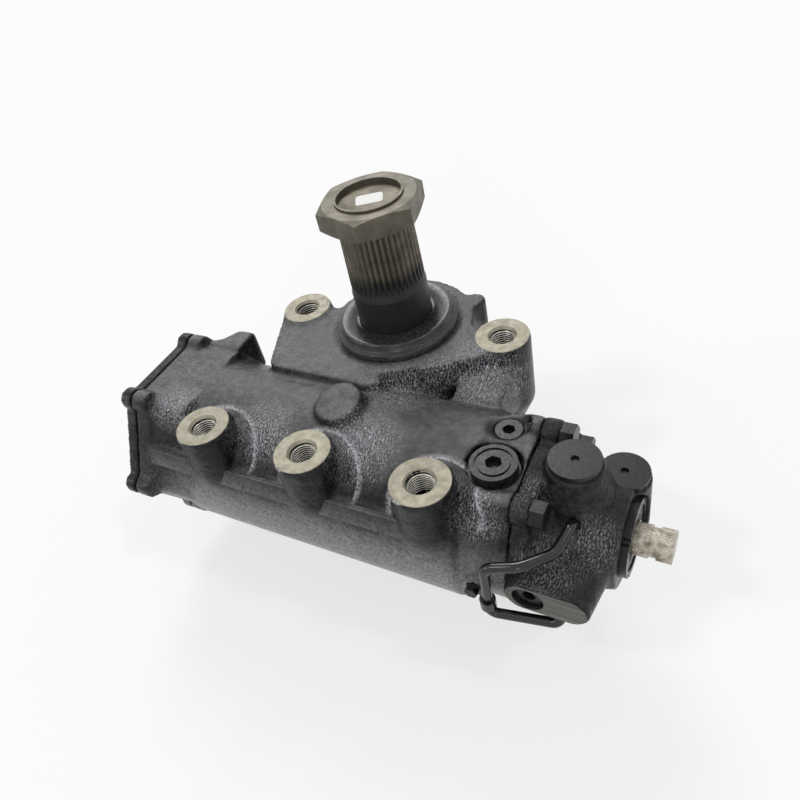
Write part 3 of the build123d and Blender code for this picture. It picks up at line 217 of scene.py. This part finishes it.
def cast_paint(name, depth, patches, pale_top, pale_low, upward=painted_dark_top, glint_colour=painted_glint,
               hollows=(), ridged=()):
    """Black paint over a sand-cast skin, painted with glints, a top tone and shade, paler grey below."""
    material, tree, shader, where = new_material(name, 0.3, specular=0.20)
    skin = noise(tree, where, 420, 5.0, 0.62)
    waves = noise(tree, where, 85, 3.0)
    wear = noise(tree, where, 150, 6.0, 0.65)
    speckle = noise(tree, where, 650, 3.0, 0.6)
    # Painted glints: bright colour on the ripple crests within the patches.
    crests = spread(tree, ripple(tree, where), 0.20, 0.95, 0.1, 1.0)
    glint = combine(tree, "MULTIPLY", crests, spread(tree, speckle, 0.40, 0.62, 0.05, 1.0))
    painted_glints = combine(tree, "MULTIPLY", near(tree, where, patches), glint)
    # Painted light on upward faces, which take the top colour that is given.
    facing = tree.nodes.new("ShaderNodeTexCoord").outputs["Normal"]
    level = spread(tree, height_of(tree, facing), 0.72, 0.98, 0.0, 1.0)
    sheen = combine(tree, "MULTIPLY", level, spread(tree, wear, 0.34, 0.62, 0.55, 1.0))
    # Paler grey below a height, and most of all on the front of the barrel.
    low = spread(tree, height_of(tree, where), pale_low, pale_top, 1.0, 0.0)
    paleness = combine(tree, "MULTIPLY", low, spread(tree, skin, 0.35, 0.60, 0.35, 1.0))
    front = spread(tree, near(tree, where, paler_side), 0, 0.75, 0.30, 1.0)
    paleness = combine(tree, "MULTIPLY", paleness, front)
    colour = ramp(tree, wear, 0.42, 0.66, (paint_dark, paint_grey))
    colour = blend(tree, sheen, colour, upward)
    colour = blend(tree, paleness, colour, low_pale_grey)
    colour = blend(tree, painted_glints, colour, glint_colour)
    # Painted shade in the hollows, and painted highlights on the ridges beside the columns.
    if hollows:
        patchy = spread(tree, skin, 0.3, 0.6, 1.0, 0.75)
        painted_shade = combine(tree, "MULTIPLY", near(tree, where, hollows), patchy)
        colour = blend(tree, painted_shade, colour, paint_dark)
        broken = spread(tree, speckle, 0.40, 0.58, 0.15, 0.9)
        ridge = combine(tree, "MULTIPLY", ridges(tree, where, ridged), broken)
        above = spread(tree, height_of(tree, where), ridge_low, ridge_top, 0.0, 1.0)
        colour = blend(tree, combine(tree, "MULTIPLY", ridge, above), colour, painted_glint)
    tree.links.new(colour, shader.inputs["Base Color"])
    gloss = spread(tree, wear, 0.35, 0.65, 0.20, 0.30)
    gloss = combine(tree, "SUBTRACT", gloss, spread(tree, painted_glints, 0, 1, 0, 0.04))
    tree.links.new(gloss, shader.inputs["Roughness"])
    soft = bump(tree, shader, waves, 3 * depth)
    soft = bump(tree, shader, painted_glints, 0.6 * depth, soft)
    bump(tree, shader, skin, 1.1 * depth, soft)
    return material


def dress(names, material):
    """Gives CAD nodes their finish."""
    for name in names:
        nodes[name].data.materials.clear()
        nodes[name].data.materials.append(material)


def copy_of(node, name):
    """A CAD node's mesh as a new object, with its loose triangles joined."""
    mesh = nodes[node].data.copy()
    piece = bpy.data.objects.new(name, mesh)
    bpy.context.scene.collection.objects.link(piece)
    bm = bmesh.new()
    bm.from_mesh(mesh)
    bmesh.ops.remove_doubles(bm, verts=bm.verts, dist=1e-6)
    bm.to_mesh(mesh)
    bm.free()
    mesh.materials.clear()
    return piece


def sand_cast(node, name, voxel, rounds=2):
    """The casting with its corners rounded as a sand mould leaves them."""
    piece = copy_of(node, name)
    remesh = piece.modifiers.new("skin", "REMESH")
    remesh.mode = "VOXEL"
    remesh.voxel_size = voxel
    evaluated = piece.evaluated_get(bpy.context.evaluated_depsgraph_get())
    fine = bpy.data.meshes.new_from_object(evaluated)
    piece.modifiers.clear()
    piece.data = fine
    bm = bmesh.new()
    bm.from_mesh(fine)
    for _ in range(rounds):
        bmesh.ops.smooth_vert(bm, verts=bm.verts, factor=0.5,
                              use_axis_x=True, use_axis_y=True, use_axis_z=True)
    for face in bm.faces:
        face.smooth = True
    bm.to_mesh(fine)
    bm.free()
    fine.materials.clear()
    return piece


def mill(piece, point, normal, reach=None):
    """Takes a flat cut off a casting, within reach of the point where a reach is given."""
    bm = bmesh.new()
    bm.from_mesh(piece.data)
    spot, way = Vector(point), Vector(normal)
    for vert in bm.verts:
        height = (vert.co - spot).dot(way)
        if height > 0 and (reach is None or (vert.co - spot - height * way).length < reach):
            vert.co -= height * way
    bm.to_mesh(piece.data)
    bm.free()


def hone(piece, bore, step):
    """Squares the corner between the piston bore and the step at its end."""
    bm = bmesh.new()
    bm.from_mesh(piece.data)
    for vert in bm.verts:
        radius = math.hypot(vert.co.y - bore_y, vert.co.z - bore_z)
        short, ahead = bore - radius, step - vert.co.x
        if 0 < short < corner_depth and 0 < ahead < corner_reach:
            if ahead < short:
                vert.co.x = step
            else:
                vert.co.y = bore_y + (vert.co.y - bore_y) * bore / radius
                vert.co.z = bore_z + (vert.co.z - bore_z) * bore / radius
    bm.to_mesh(piece.data)
    bm.free()


housing = sand_cast("housing", "housing_casting", housing_voxel)
hone(housing, piston_bore, bore_end)
housing_paint = cast_paint("housing_paint", skin_depth, housing_patches, housing_pale_top,
                           housing_pale_low, painted_sheen, hollows=housing_shade_spots, ridged=column_shade_spots)
housing.data.materials.append(housing_paint)
mill(housing, (housing_left + face_cut, 0, 0), (-1, 0, 0))
mill(housing, (housing_right - face_cut, 0, 0), (1, 0, 0))
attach(housing, "case")
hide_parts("housing")


# Ledge along the parting line of the mould: a flat shelf in front of the barrel, of the same iron
# and cast with it, crisp where the two halves of the mould met.
ledge_from, ledge_to = -0.152, 0.098
ledge_y, ledge_z, ledge_tilt = -0.1590, -0.0398, math.radians(-24)
ledge_thick, ledge_tall, ledge_round = 0.0110, 0.0128, 0.0009
ledge_pale_top, ledge_pale_low = -0.028, -0.054
fine_skin_depth = 0.0004
# A patch far off the gear, for paint with neither ripples nor painted glints.
unrippled = ((0.5, 0, 0, 0.001),)


def as_piece(bm, name):
    """The finished shape as an object of the scene."""
    mesh = bpy.data.meshes.new(name)
    bm.to_mesh(mesh)
    bm.free()
    piece = bpy.data.objects.new(name, mesh)
    bpy.context.scene.collection.objects.link(piece)
    return piece


bm = bmesh.new()
bmesh.ops.create_cube(bm, size=1)
bmesh.ops.scale(bm, verts=bm.verts, vec=(ledge_to - ledge_from, ledge_thick, ledge_tall))
bmesh.ops.bevel(bm, geom=bm.edges[:], offset=ledge_round, segments=3, profile=0.5, affect="EDGES",
                material=-1)
bmesh.ops.rotate(bm, verts=bm.verts, cent=(0, 0, 0), matrix=Matrix.Rotation(ledge_tilt, 3, "X"))
bmesh.ops.translate(bm, verts=bm.verts, vec=((ledge_from + ledge_to) / 2, ledge_y, ledge_z))
ledge = as_piece(bm, "parting_ledge")
# Its upward faces get the same painted sheen as the housing's.
ledge_paint = cast_paint("ledge_paint", fine_skin_depth, unrippled, ledge_pale_top, ledge_pale_low,
                         painted_sheen)
ledge.data.materials.append(ledge_paint)
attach(ledge, "case")


# The five mounting bosses: their tops are milled bright in one plane after painting. A turned ring
# stands for each bright land and the small countersink of its hole.
boss_places = ((-0.090, -0.1485), (0, -0.1485), (0.090, -0.1485), (-0.0886, 0), (0.0886, 0))
hole_radius = 0.0092
land_outer, land_inner, land_rim = 0.0203, 0.0109, 0.0003
land_edge, land_fall, land_height = 0.0005, 0.0006, 0.0022
sink_outer, sink_inner = land_inner + 0.001, hole_radius + 0.0002
land_bed, land_clear = -0.0004, 0.0235
land_colour, land_stain = (0.36, 0.335, 0.265, 1), (0.27, 0.250, 0.195, 1)


def turned(name, profile, segments=96, at=(0, 0, 0)):
    """A part turned on an upright lathe from a closed outline of (radius, height) corners."""
    bm = bmesh.new()
    corners = [bm.verts.new((r, 0, h)) for r, h in profile]
    edges = [bm.edges.new((a, b)) for a, b in zip(corners, corners[1:] + corners[:1])]
    bmesh.ops.spin(bm, geom=corners + edges, cent=(0, 0, 0), axis=(0, 0, 1), angle=2 * math.pi,
                   steps=segments, use_merge=True)
    bmesh.ops.remove_doubles(bm, verts=bm.verts, dist=1e-7)
    bmesh.ops.recalc_face_normals(bm, faces=bm.faces)
    bmesh.ops.translate(bm, verts=bm.verts, vec=at)
    return as_piece(bm, name)


def smooth_by_angle(piece, degrees=35):
    """Shades the piece smooth, with its sharper edges kept crisp."""
    bm = bmesh.new()
    bm.from_mesh(piece.data)
    for face in bm.faces:
        face.smooth = True
    for edge in bm.edges:
        edge.smooth = len(edge.link_faces) == 2 and edge.calc_face_angle(0) < math.radians(degrees)
    bm.to_mesh(piece.data)
    bm.free()


def milled_metal(name, colour, dark, rough, metal=1.0):
    """Bare machined metal with stains and the fine marks of the cutter."""
    material, tree, shader, where = new_material(name, rough, metal)
    stain = noise(tree, where, 170, 6.0, 0.62)
    fine = noise(tree, where, 2400, 2.0)
    tree.links.new(ramp(tree, stain, 0.40, 0.68, (colour, dark)), shader.inputs["Base Color"])
    tree.links.new(spread(tree, stain, 0.3, 0.7, rough, rough + 0.18), shader.inputs["Roughness"])
    bump(tree, shader, fine, 0.00006)
    return material


land_metal = milled_metal("boss_land", land_colour, land_stain, 0.5, 0.6)
land_profile = (
    (land_outer - land_rim, 0), (land_outer, -land_edge), (sink_outer, -land_fall),
    (sink_inner, -land_height), (land_inner, 0))
for number, (x, y) in enumerate(boss_places):
    mill(housing, (x, y, land_bed), (0, 0, 1), land_clear)
    land = turned(f"boss_land_{number}", land_profile, at=(x, y, 0))
    land.data.materials.append(land_metal)
    smooth_by_angle(land)
    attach(land, "case")


# The threads of the five mounting holes, cut in the iron for M20 screws: one coil down the wall of
# each drilled hole. They are cut after painting, so their metal is bare.
thread_pitch, thread_turns, thread_steps = 0.0020, 9, 36
thread_crest, thread_root, thread_top = -0.0007, 0.0004, -0.0026
thread_corners = ((thread_root, 0.0), (thread_crest, 0.45), (thread_crest, 0.55), (thread_root, 1.0))
thread_colour, thread_stain = (0.66, 0.64, 0.57, 1), (0.40, 0.38, 0.33, 1)
thread_metal = milled_metal("boss_thread", thread_colour, thread_stain, 0.30, 0.3)
for number, (x, y) in enumerate(boss_places):
    bm = bmesh.new()
    start = [bm.verts.new((hole_radius + r, 0, thread_top - h * thread_pitch)) for r, h in thread_corners]
    edges = [bm.edges.new((a, b)) for a, b in zip(start, start[1:])]
    bmesh.ops.spin(bm, geom=start + edges, cent=(0, 0, 0), axis=(0, 0, 1), angle=2 * math.pi * thread_turns,
                   steps=thread_steps * thread_turns, dvec=(0, 0, -thread_pitch / thread_steps))
    bmesh.ops.remove_doubles(bm, verts=bm.verts, dist=1e-6)
    bmesh.ops.translate(bm, verts=bm.verts, vec=(x, y, 0))
    bmesh.ops.recalc_face_normals(bm, faces=bm.faces)
    thread = as_piece(bm, f"boss_thread_{number}")
    thread.data.materials.append(thread_metal)
    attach(thread, "case")


# End cover: a hexagonal casting in the same black, machined where it meets the housing, with its
# seal and six sunk socket screws that were painted over on the line.
end_cover_voxel = 0.0014
# A patch of painted glints on the end cover.
end_cover_patches = ((-0.18, -0.17, 0, 0.03),)
end_cover_pale_top, end_cover_pale_low = -0.1, -0.12
fastener_black, fastener_worn = (0.006, 0.006, 0.007, 1), (0.026, 0.026, 0.026, 1)
rubber_black, rubber_grey = (0.012, 0.012, 0.012, 1), (0.03, 0.03, 0.03, 1)


def painted_steel(name, base, worn, rough, specular=0.25, grain=0.00012):
    """Smooth steel under the same black, thin enough to wear grey at its high spots."""
    material, tree, shader, where = new_material(name, rough, specular=specular)
    wear = noise(tree, where, 380, 6.0, 0.62)
    tree.links.new(ramp(tree, wear, 0.46, 0.72, (base, worn)), shader.inputs["Base Color"])
    tree.links.new(spread(tree, wear, 0.3, 0.7, rough - 0.06, rough + 0.12), shader.inputs["Roughness"])
    bump(tree, shader, wear, grain)
    return material


def moulded_rubber(name):
    """Black nitrile, matt, with the fine grain of its mould."""
    material, tree, shader, where = new_material(name, 0.6)
    grain = noise(tree, where, 1800, 3.0)
    tree.links.new(ramp(tree, grain, 0.3, 0.7, (rubber_black, rubber_grey)), shader.inputs["Base Color"])
    bump(tree, shader, grain, 0.00005)
    return material


end_cover = sand_cast("end_cover", "end_cover_casting", end_cover_voxel)
end_cover_paint = cast_paint("end_cover_paint", fine_skin_depth, end_cover_patches, end_cover_pale_top,
                             end_cover_pale_low)
end_cover.data.materials.append(end_cover_paint)
mill(end_cover, (housing_left - face_cut, 0, 0), (1, 0, 0))
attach(end_cover, "case")
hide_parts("end_cover")
fastener_paint = painted_steel("fastener_paint", fastener_black, fastener_worn, 0.26)
dress(("end_cover_screws", "stop_screw", "stop_locknut"), fastener_paint)
rubber = moulded_rubber("seal_rubber")
dress(("end_cover_seal",), rubber)


# Side cover under the sector chamber: cast iron in the same paint, with its seal, eight hexagon
# bolts, and the adjusting screw with its sealing nut.
# A patch of painted glints on the side cover.
side_cover_patches = ((0, -0.06, -0.14, 0.03),)
side_cover_pale_top, side_cover_pale_low = -0.128, -0.15
side_cover_paint = cast_paint("side_cover_paint", fine_skin_depth, side_cover_patches,
                              side_cover_pale_top, side_cover_pale_low)
dress(("side_cover",), side_cover_paint)
dress(("side_cover_seal",), rubber)
dress(("side_cover_bolts", "adjusting_screw", "adjusting_locknut"), fastener_paint)


# Output shaft: forged steel, oiled to a dark olive over the serrations, and sprayed black with the
# housing from the run-out of the serrations down.
spray_top, spray_low = 0.058, 0.050
shaft_olive, shaft_dark = (0.150, 0.132, 0.098, 1), (0.075, 0.066, 0.050, 1)


def oiled_steel(name, colour, dark, rough, sprayed=None):
    """Phosphated steel under a film of oil, black below a height where it was sprayed."""
    material, tree, shader, where = new_material(name, rough, 0.7)
    stain = noise(tree, where, 90, 6.0, 0.6)
    grain = noise(tree, where, 1500, 3.0)
    tint = ramp(tree, stain, 0.35, 0.68, (colour, dark))
    if sprayed:
        low, top = sprayed
        ragged = spread(tree, stain, 0.3, 0.7, -0.004, 0.004)
        edge = combine(tree, "ADD", height_of(tree, where), ragged)
        tint = blend(tree, spread(tree, edge, low, top, 1.0, 0.0), tint, paint_grey)
    tree.links.new(tint, shader.inputs["Base Color"])
    tree.links.new(spread(tree, stain, 0.3, 0.7, rough, rough + 0.15), shader.inputs["Roughness"])
    bump(tree, shader, grain, 0.00008)
    return material


shaft_steel = oiled_steel("shaft_steel", shaft_olive, shaft_dark, 0.38, (spray_low, spray_top))
dress(("sector_shaft",), shaft_steel)


# Label on the end of the output shaft: a small paper sticker with round corners, stuck on askew.
# It is left blank here.
label_half_long, label_half_wide, label_corner = 0.0098, 0.0072, 0.0026
label_turn, label_height, label_thickness = 0.50, 0.1062, 0.00015
paper_shade, paper_white = (0.80, 0.80, 0.78, 1), (0.90, 0.90, 0.88, 1)


def thicken(bm, thickness):
    """Gives a flat outline its thickness, upward."""
    raised = bmesh.ops.extrude_face_region(bm, geom=bm.faces[:])["geom"]
    upper = [item for item in raised if isinstance(item, bmesh.types.BMVert)]
    bmesh.ops.translate(bm, verts=upper, vec=(0, 0, thickness))


bm = bmesh.new()
bmesh.ops.create_grid(bm, x_segments=1, y_segments=1, size=1)
bmesh.ops.scale(bm, verts=bm.verts, vec=(label_half_long, label_half_wide, 1))
bmesh.ops.bevel(bm, geom=bm.verts[:], offset=label_corner, segments=4, profile=0.5, affect="VERTICES",
                material=-1)
thicken(bm, label_thickness)
bmesh.ops.rotate(bm, verts=bm.verts, cent=(0, 0, 0), matrix=Matrix.Rotation(label_turn, 3, "Z"))
bmesh.ops.translate(bm, verts=bm.verts, vec=(0, 0, label_height))
bmesh.ops.recalc_face_normals(bm, faces=bm.faces)
label = as_piece(bm, "blank_label")
paper, tree, shader, where = new_material("label_paper", 0.6)
fibres = noise(tree, where, 900)
tree.links.new(ramp(tree, fibres, 0.3, 0.7, (paper_shade, paper_white)), shader.inputs["Base Color"])
label.data.materials.append(paper)
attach(label, "sector")


# Pitman arm nut: a large hexagon nut of phosphated steel, olive grey under its film of oil, on the
# thread at the end of the output shaft.
nut_olive, nut_dark = (0.150, 0.135, 0.104, 1), (0.090, 0.081, 0.063, 1)
nut_steel = oiled_steel("nut_steel", nut_olive, nut_dark, 0.38)
dress(("pitman_nut",), nut_steel)


# Needle bearings of the output shaft and the retainer of its adjusting screw: ground steel, hidden
# inside the gear.
ground_bright, ground_stain = (0.6, 0.6, 0.6, 1), (0.4, 0.4, 0.4, 1)
ground_steel = milled_metal("ground_steel", ground_bright, ground_stain, 0.25)
dress(("upper_bearing_cup", "upper_bearing_needles", "lower_bearing_cup", "lower_bearing_needles",
       "adjuster_retainer"), ground_steel)


# Shaft seal and dust cap: nitrile rubber under a cap that is pressed from sheet steel and painted
# satin black. The cap has a low rim outside and a roof that is sunk a little round the shaft.
dress(("output_seal",), rubber)
cap_black, cap_worn = (0.022, 0.022, 0.023, 1), (0.058, 0.058, 0.060, 1)
cap_grain = 0.00004
cap_rim, cap_wall, cap_seat, cap_lip, cap_hole = 0.0488, 0.0446, 0.0436, 0.0321, 0.0296
cap_low, cap_foot, cap_shelf, cap_roof, cap_top = -0.0040, 0.0024, 0.0028, 0.0091, 0.0095
cap_sunk, cap_lip_low, cap_under = 0.0083, 0.0016, 0.0054
cap_profile = (
    (cap_rim, cap_low), (cap_rim, cap_foot), (0.0484, cap_shelf), (0.0456, cap_shelf),
    (0.0450, 0.0034), (cap_wall, 0.0081), (0.0441, 0.0090), (0.0430, cap_top),
    (0.0415, cap_roof), (0.0330, cap_roof), (0.0322, cap_sunk),
    (cap_hole, cap_sunk), (cap_hole, cap_lip_low), (cap_lip, cap_lip_low), (cap_lip, cap_under),
    (cap_seat, cap_under), (cap_seat, cap_low))
cap = turned("dust_cap_pressing", cap_profile, 128)
cap.data.materials.append(painted_steel("dust_cap_paint", cap_black, cap_worn, 0.26, 0.4, cap_grain))
smooth_by_angle(cap, 50)
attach(cap, "case")
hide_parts("dust_cap")


# Rack piston with its ring, return tube and balls, the worm with its bearings, and the torsion bar:
# ground and hardened steel, seen only when the gear is taken apart.
dress(("rack_piston", "ball_return_tube", "recirculating_balls", "worm_shaft", "rear_thrust_bearing",
       "front_thrust_bearing", "bearing_nut", "torsion_bar", "worm_pin", "input_pin", "valve_sleeve",
       "input_bearing"), ground_steel)
dress(("piston_ring", "input_seal"), rubber)


# Input shaft: bright turned steel, with fine serrations on either side of the clamp groove. The
# CAD shaft is cut off where the serrations begin, and finer ones and the groove take its place.
spline_start, groove_start, groove_end, spline_end = 0.2114, 0.2200, 0.2250, 0.2345
spline_radius, spline_root, spline_teeth = 0.0110, 0.0106, 44
groove_radius = 0.0098
input_bright, input_stain = (0.50, 0.465, 0.40, 1), (0.17, 0.14, 0.10, 1)


def lay_along(bm, x):
    """Lays an upright shape along the axis of the worm, its origin at x."""
    bmesh.ops.rotate(bm, verts=bm.verts, cent=(0, 0, 0), matrix=Matrix.Rotation(math.pi / 2, 3, "Y"))
    bmesh.ops.translate(bm, verts=bm.verts, vec=(x, bore_y, bore_z))


bright_steel = milled_metal("input_steel", input_bright, input_stain, 0.22)
input_shaft = copy_of("input_shaft", "input_shaft_body")
bm = bmesh.new()
bm.from_mesh(input_shaft.data)
bmesh.ops.bisect_plane(bm, geom=bm.verts[:] + bm.edges[:] + bm.faces[:], plane_co=(spline_start, 0, 0),
                       plane_no=(1, 0, 0), clear_outer=True)
rim = [edge for edge in bm.edges if edge.is_boundary]
bmesh.ops.holes_fill(bm, edges=rim, sides=0)
bmesh.ops.recalc_face_normals(bm, faces=bm.faces)
bm.to_mesh(input_shaft.data)
bm.free()
input_shaft.data.materials.append(bright_steel)
smooth_by_angle(input_shaft)
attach(input_shaft, "input")
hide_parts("input_shaft")
for number, (low, high) in enumerate(((spline_start, groove_start), (groove_end, spline_end))):
    bm = bmesh.new()
    bmesh.ops.create_cone(bm, cap_ends=True, segments=2 * spline_teeth, radius1=spline_radius,
                          radius2=spline_radius, depth=high - low)
    for vert in bm.verts:
        turn = math.atan2(vert.co.y, vert.co.x) / math.pi * spline_teeth
        if round(turn) % 2:
            vert.co.xy *= spline_root / spline_radius
    lay_along(bm, (low + high) / 2)
    bmesh.ops.recalc_face_normals(bm, faces=bm.faces)
    splines = as_piece(bm, f"input_splines_{number}")
    splines.data.materials.append(bright_steel)
    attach(splines, "input")
groove_long = groove_end - groove_start
groove_profile = ((0, 0), (groove_radius, 0), (groove_radius, groove_long), (0, groove_long))
neck = turned("input_groove", groove_profile, 64)
bm = bmesh.new()
bm.from_mesh(neck.data)
lay_along(bm, groove_start)
bm.to_mesh(neck.data)
bm.free()
neck.data.materials.append(bright_steel)
smooth_by_angle(neck)
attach(neck, "input")


# Valve housing: a smaller iron casting in the same paint, held on the housing by five hexagon
# bolts. The face of its limiter block is cut flat.
valve_voxel = 0.0015
valve_skin_depth = 0.0009
# Colour of the painted glints on the valve housing.
valve_glint_colour = (0.400, 0.400, 0.420, 1)
valve_pale_top, valve_pale_low = -0.125, -0.135
# Patches of its painted glints: the middle and the reach of each.
valve_patches = (
    (0.190, -0.128, -0.046, 0.024), (0.170, -0.150, -0.050, 0.026), (0.150, -0.128, -0.020, 0.020),
    (0.150, -0.055, -0.040, 0.022))
limiter_plane = -0.1688
valve_housing = sand_cast("valve_housing", "valve_housing_casting", valve_voxel)
valve_paint = cast_paint("valve_housing_paint", valve_skin_depth, valve_patches, valve_pale_top,
                         valve_pale_low, glint_colour=valve_glint_colour)
valve_housing.data.materials.append(valve_paint)
mill(valve_housing, (0, limiter_plane, 0), (0, -1, 0))
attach(valve_housing, "case")
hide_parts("valve_housing")
dress(("valve_housing_bolts",), fastener_paint)


# Face of the limiter block: sawn flat after painting, so that bare grey iron shows with the lines
# of the saw. It is a thin plate with round ends, and a hole lets the socket plug through.
pad_x, pad_z, pad_y = 0.173, -0.064, -0.1691
pad_round, pad_straight, pad_thick = 0.0116, 0.0140, 0.0006
pad_hole_x, pad_hole_radius = 0.162, 0.0103
saw_dark, saw_bright = (0.030, 0.029, 0.027, 1), (0.150, 0.144, 0.128, 1)
saw_lines = (12, 40, 900)
bm = bmesh.new()
bmesh.ops.create_circle(bm, segments=64, radius=pad_round)
for vert in bm.verts:
    vert.co.x += math.copysign(pad_straight, vert.co.x)
hole = bmesh.ops.create_circle(bm, segments=48, radius=pad_hole_radius)["verts"]
bmesh.ops.translate(bm, verts=hole, vec=(pad_hole_x - pad_x, 0, 0))
bmesh.ops.triangle_fill(bm, edges=bm.edges[:], use_beauty=True)
thicken(bm, pad_thick)
bmesh.ops.rotate(bm, verts=bm.verts, cent=(0, 0, 0), matrix=Matrix.Rotation(math.pi / 2, 3, "X"))
bmesh.ops.translate(bm, verts=bm.verts, vec=(pad_x, pad_y + pad_thick, pad_z))
bmesh.ops.recalc_face_normals(bm, faces=bm.faces)
pad = as_piece(bm, "limiter_face")
sawn, tree, shader, where = new_material("sawn_face", 0.45, 0.3)
stretch = tree.nodes.new("ShaderNodeMapping")
stretch.inputs["Scale"].default_value = saw_lines
tree.links.new(where, stretch.inputs["Vector"])
saw = noise(tree, stretch.outputs["Vector"], 1.0, 3.0, 0.6)
tree.links.new(ramp(tree, saw, 0.38, 0.62, (saw_dark, saw_bright)), shader.inputs["Base Color"])
bump(tree, shader, saw, 0.0003)
pad.data.materials.append(sawn)
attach(pad, "case")


# Limiter plug and valve adjuster: a black steel socket plug in the limiter block, and the threaded
# plug round the input shaft with the slotted ring that locks it.
dress(("limiter_plug", "adjuster_plug", "adjuster_ring"), fastener_paint)


# Plugs on top of the housing: a sunk socket plug, and the turned plug of the relief valve on its
# soft washer. They are steel, painted over with the housing.
dress(("gallery_plug", "relief_plug", "relief_washer"), fastener_paint)


# Transport caps of the two ports: moulded black plastic with a small socket. They keep dirt out
# until the lines are fitted.
plastic_black, plastic_worn = (0.010, 0.010, 0.011, 1), (0.018, 0.018, 0.019, 1)
cap_plastic = painted_steel("port_cap_plastic", plastic_black, plastic_worn, 0.30, 0.3)
dress(("pressure_port_cap", "return_port_cap"), cap_plastic)


# Transfer pipe with its clip and screw: a bent steel tube in glossy black, which the clip holds
# to the gear.
pipe_black, pipe_worn = (0.006, 0.006, 0.006, 1), (0.012, 0.012, 0.012, 1)
pipe_grain = 0.00001
pipe_paint = painted_steel("pipe_paint", pipe_black, pipe_worn, 0.14, 0.5, pipe_grain)
dress(("transfer_pipe", "pipe_clip"), pipe_paint)
dress(("pipe_clip_screw",), fastener_paint)


# Floor and white surroundings: a matt white sheet just under the gear, which keeps its shadow and
# is lifted towards white for the eye, and an even white sky.
floor_size, floor_gap = 6, 0.0005
shadow_lift = 0.62
sky_light, sky_seen = 0.45, 1.0
bm = bmesh.new()
bmesh.ops.create_grid(bm, x_segments=1, y_segments=1, size=floor_size)
bmesh.ops.translate(bm, verts=bm.verts, vec=(0, 0, cad_box[0][2] - floor_gap))
floor = as_piece(bm, "floor")
floor_white, tree, shader, _ = new_material("floor_white", 0.9, specular=0.0)
shader.inputs["Base Color"].default_value = (0.96, 0.96, 0.96, 1)


def background_rays(tree):
    """One for the rays that show the background itself, by eye or in a reflection."""
    path = tree.nodes.new("ShaderNodeLightPath")
    seen = combine(tree, "MAXIMUM", path.outputs["Is Camera Ray"], path.outputs["Is Glossy Ray"])
    return combine(tree, "MAXIMUM", seen, path.outputs["Is Transmission Ray"])


glow = tree.nodes.new("ShaderNodeEmission")
lit = tree.nodes.new("ShaderNodeMixShader")
tree.links.new(spread(tree, background_rays(tree), 0, 1, 0, shadow_lift), lit.inputs["Fac"])
tree.links.new(shader.outputs["BSDF"], lit.inputs[1])
tree.links.new(glow.outputs["Emission"], lit.inputs[2])
tree.links.new(lit.outputs["Shader"], tree.nodes["Material Output"].inputs["Surface"])
floor.data.materials.append(floor_white)

scene = bpy.context.scene
scene.world = bpy.data.worlds.new("studio")
scene.world.use_nodes = True
sky = scene.world.node_tree
background = sky.nodes["Background"]
background.inputs["Color"].default_value = (1, 1, 1, 1)
sky_strength = spread(sky, background_rays(sky), 0, 1, sky_light, sky_seen)
sky.links.new(sky_strength, background.inputs["Strength"])


# Lamps: one broad soft light from behind and four smaller ones round the gear. The paint's streaks
# of light are painted glints as well as the lamps' highlights.
def sun(name, toward, power, width):
    """A lamp far away, seen in the direction given and so many degrees wide."""
    lamp = bpy.data.lights.new(name, "SUN")
    lamp.energy = power
    lamp.angle = math.radians(width)
    holder = bpy.data.objects.new(name, lamp)
    scene.collection.objects.link(holder)
    holder.rotation_euler = (-Vector(toward)).to_track_quat("-Z", "Y").to_euler()


sun("back_box", (-0.42, 0.60, 0.68), 1.0, 24)
sun("front_lamp", (-0.40, -0.46, 0.80), 0.5, 6)
sun("low_lamp", (0.33, -0.90, 0.28), 0.25, 8)
sun("right_lamp", (0.52, 0.08, 0.84), 0.4, 6)
sun("left_lamp", (-0.80, -0.48, 0.36), 0.35, 10)


# Camera of the photograph, as fitted to it: its place, its turn in radians, and its focal length
# and picture centre in pixels of the photograph.
camera_place = (0.263091, -0.384817, 0.32814)
yaw, pitch, roll = -0.675, 0.731, -0.281
focal_pixels, centre_x, centre_y = 703.912, 378.431, 411.117
image_pixels = 800
forward = Vector((math.sin(yaw) * math.cos(pitch), math.cos(yaw) * math.cos(pitch), -math.sin(pitch)))
level_right = Vector((math.cos(yaw), -math.sin(yaw), 0))
level_up = level_right.cross(forward)
right = math.cos(roll) * level_right + math.sin(roll) * level_up
up = -math.sin(roll) * level_right + math.cos(roll) * level_up
camera_data = bpy.data.cameras.new("camera")
camera_data.lens = focal_pixels / image_pixels * camera_data.sensor_width
camera_data.shift_x = (image_pixels / 2 - centre_x) / image_pixels
camera_data.shift_y = (centre_y - image_pixels / 2) / image_pixels
camera = bpy.data.objects.new("camera", camera_data)
scene.collection.objects.link(camera)
camera_turn = Matrix((right, up, -forward)).transposed().to_4x4()
camera.matrix_world = Matrix.Translation(camera_place) @ camera_turn
scene.camera = camera
scene.view_settings.view_transform = "Standard"
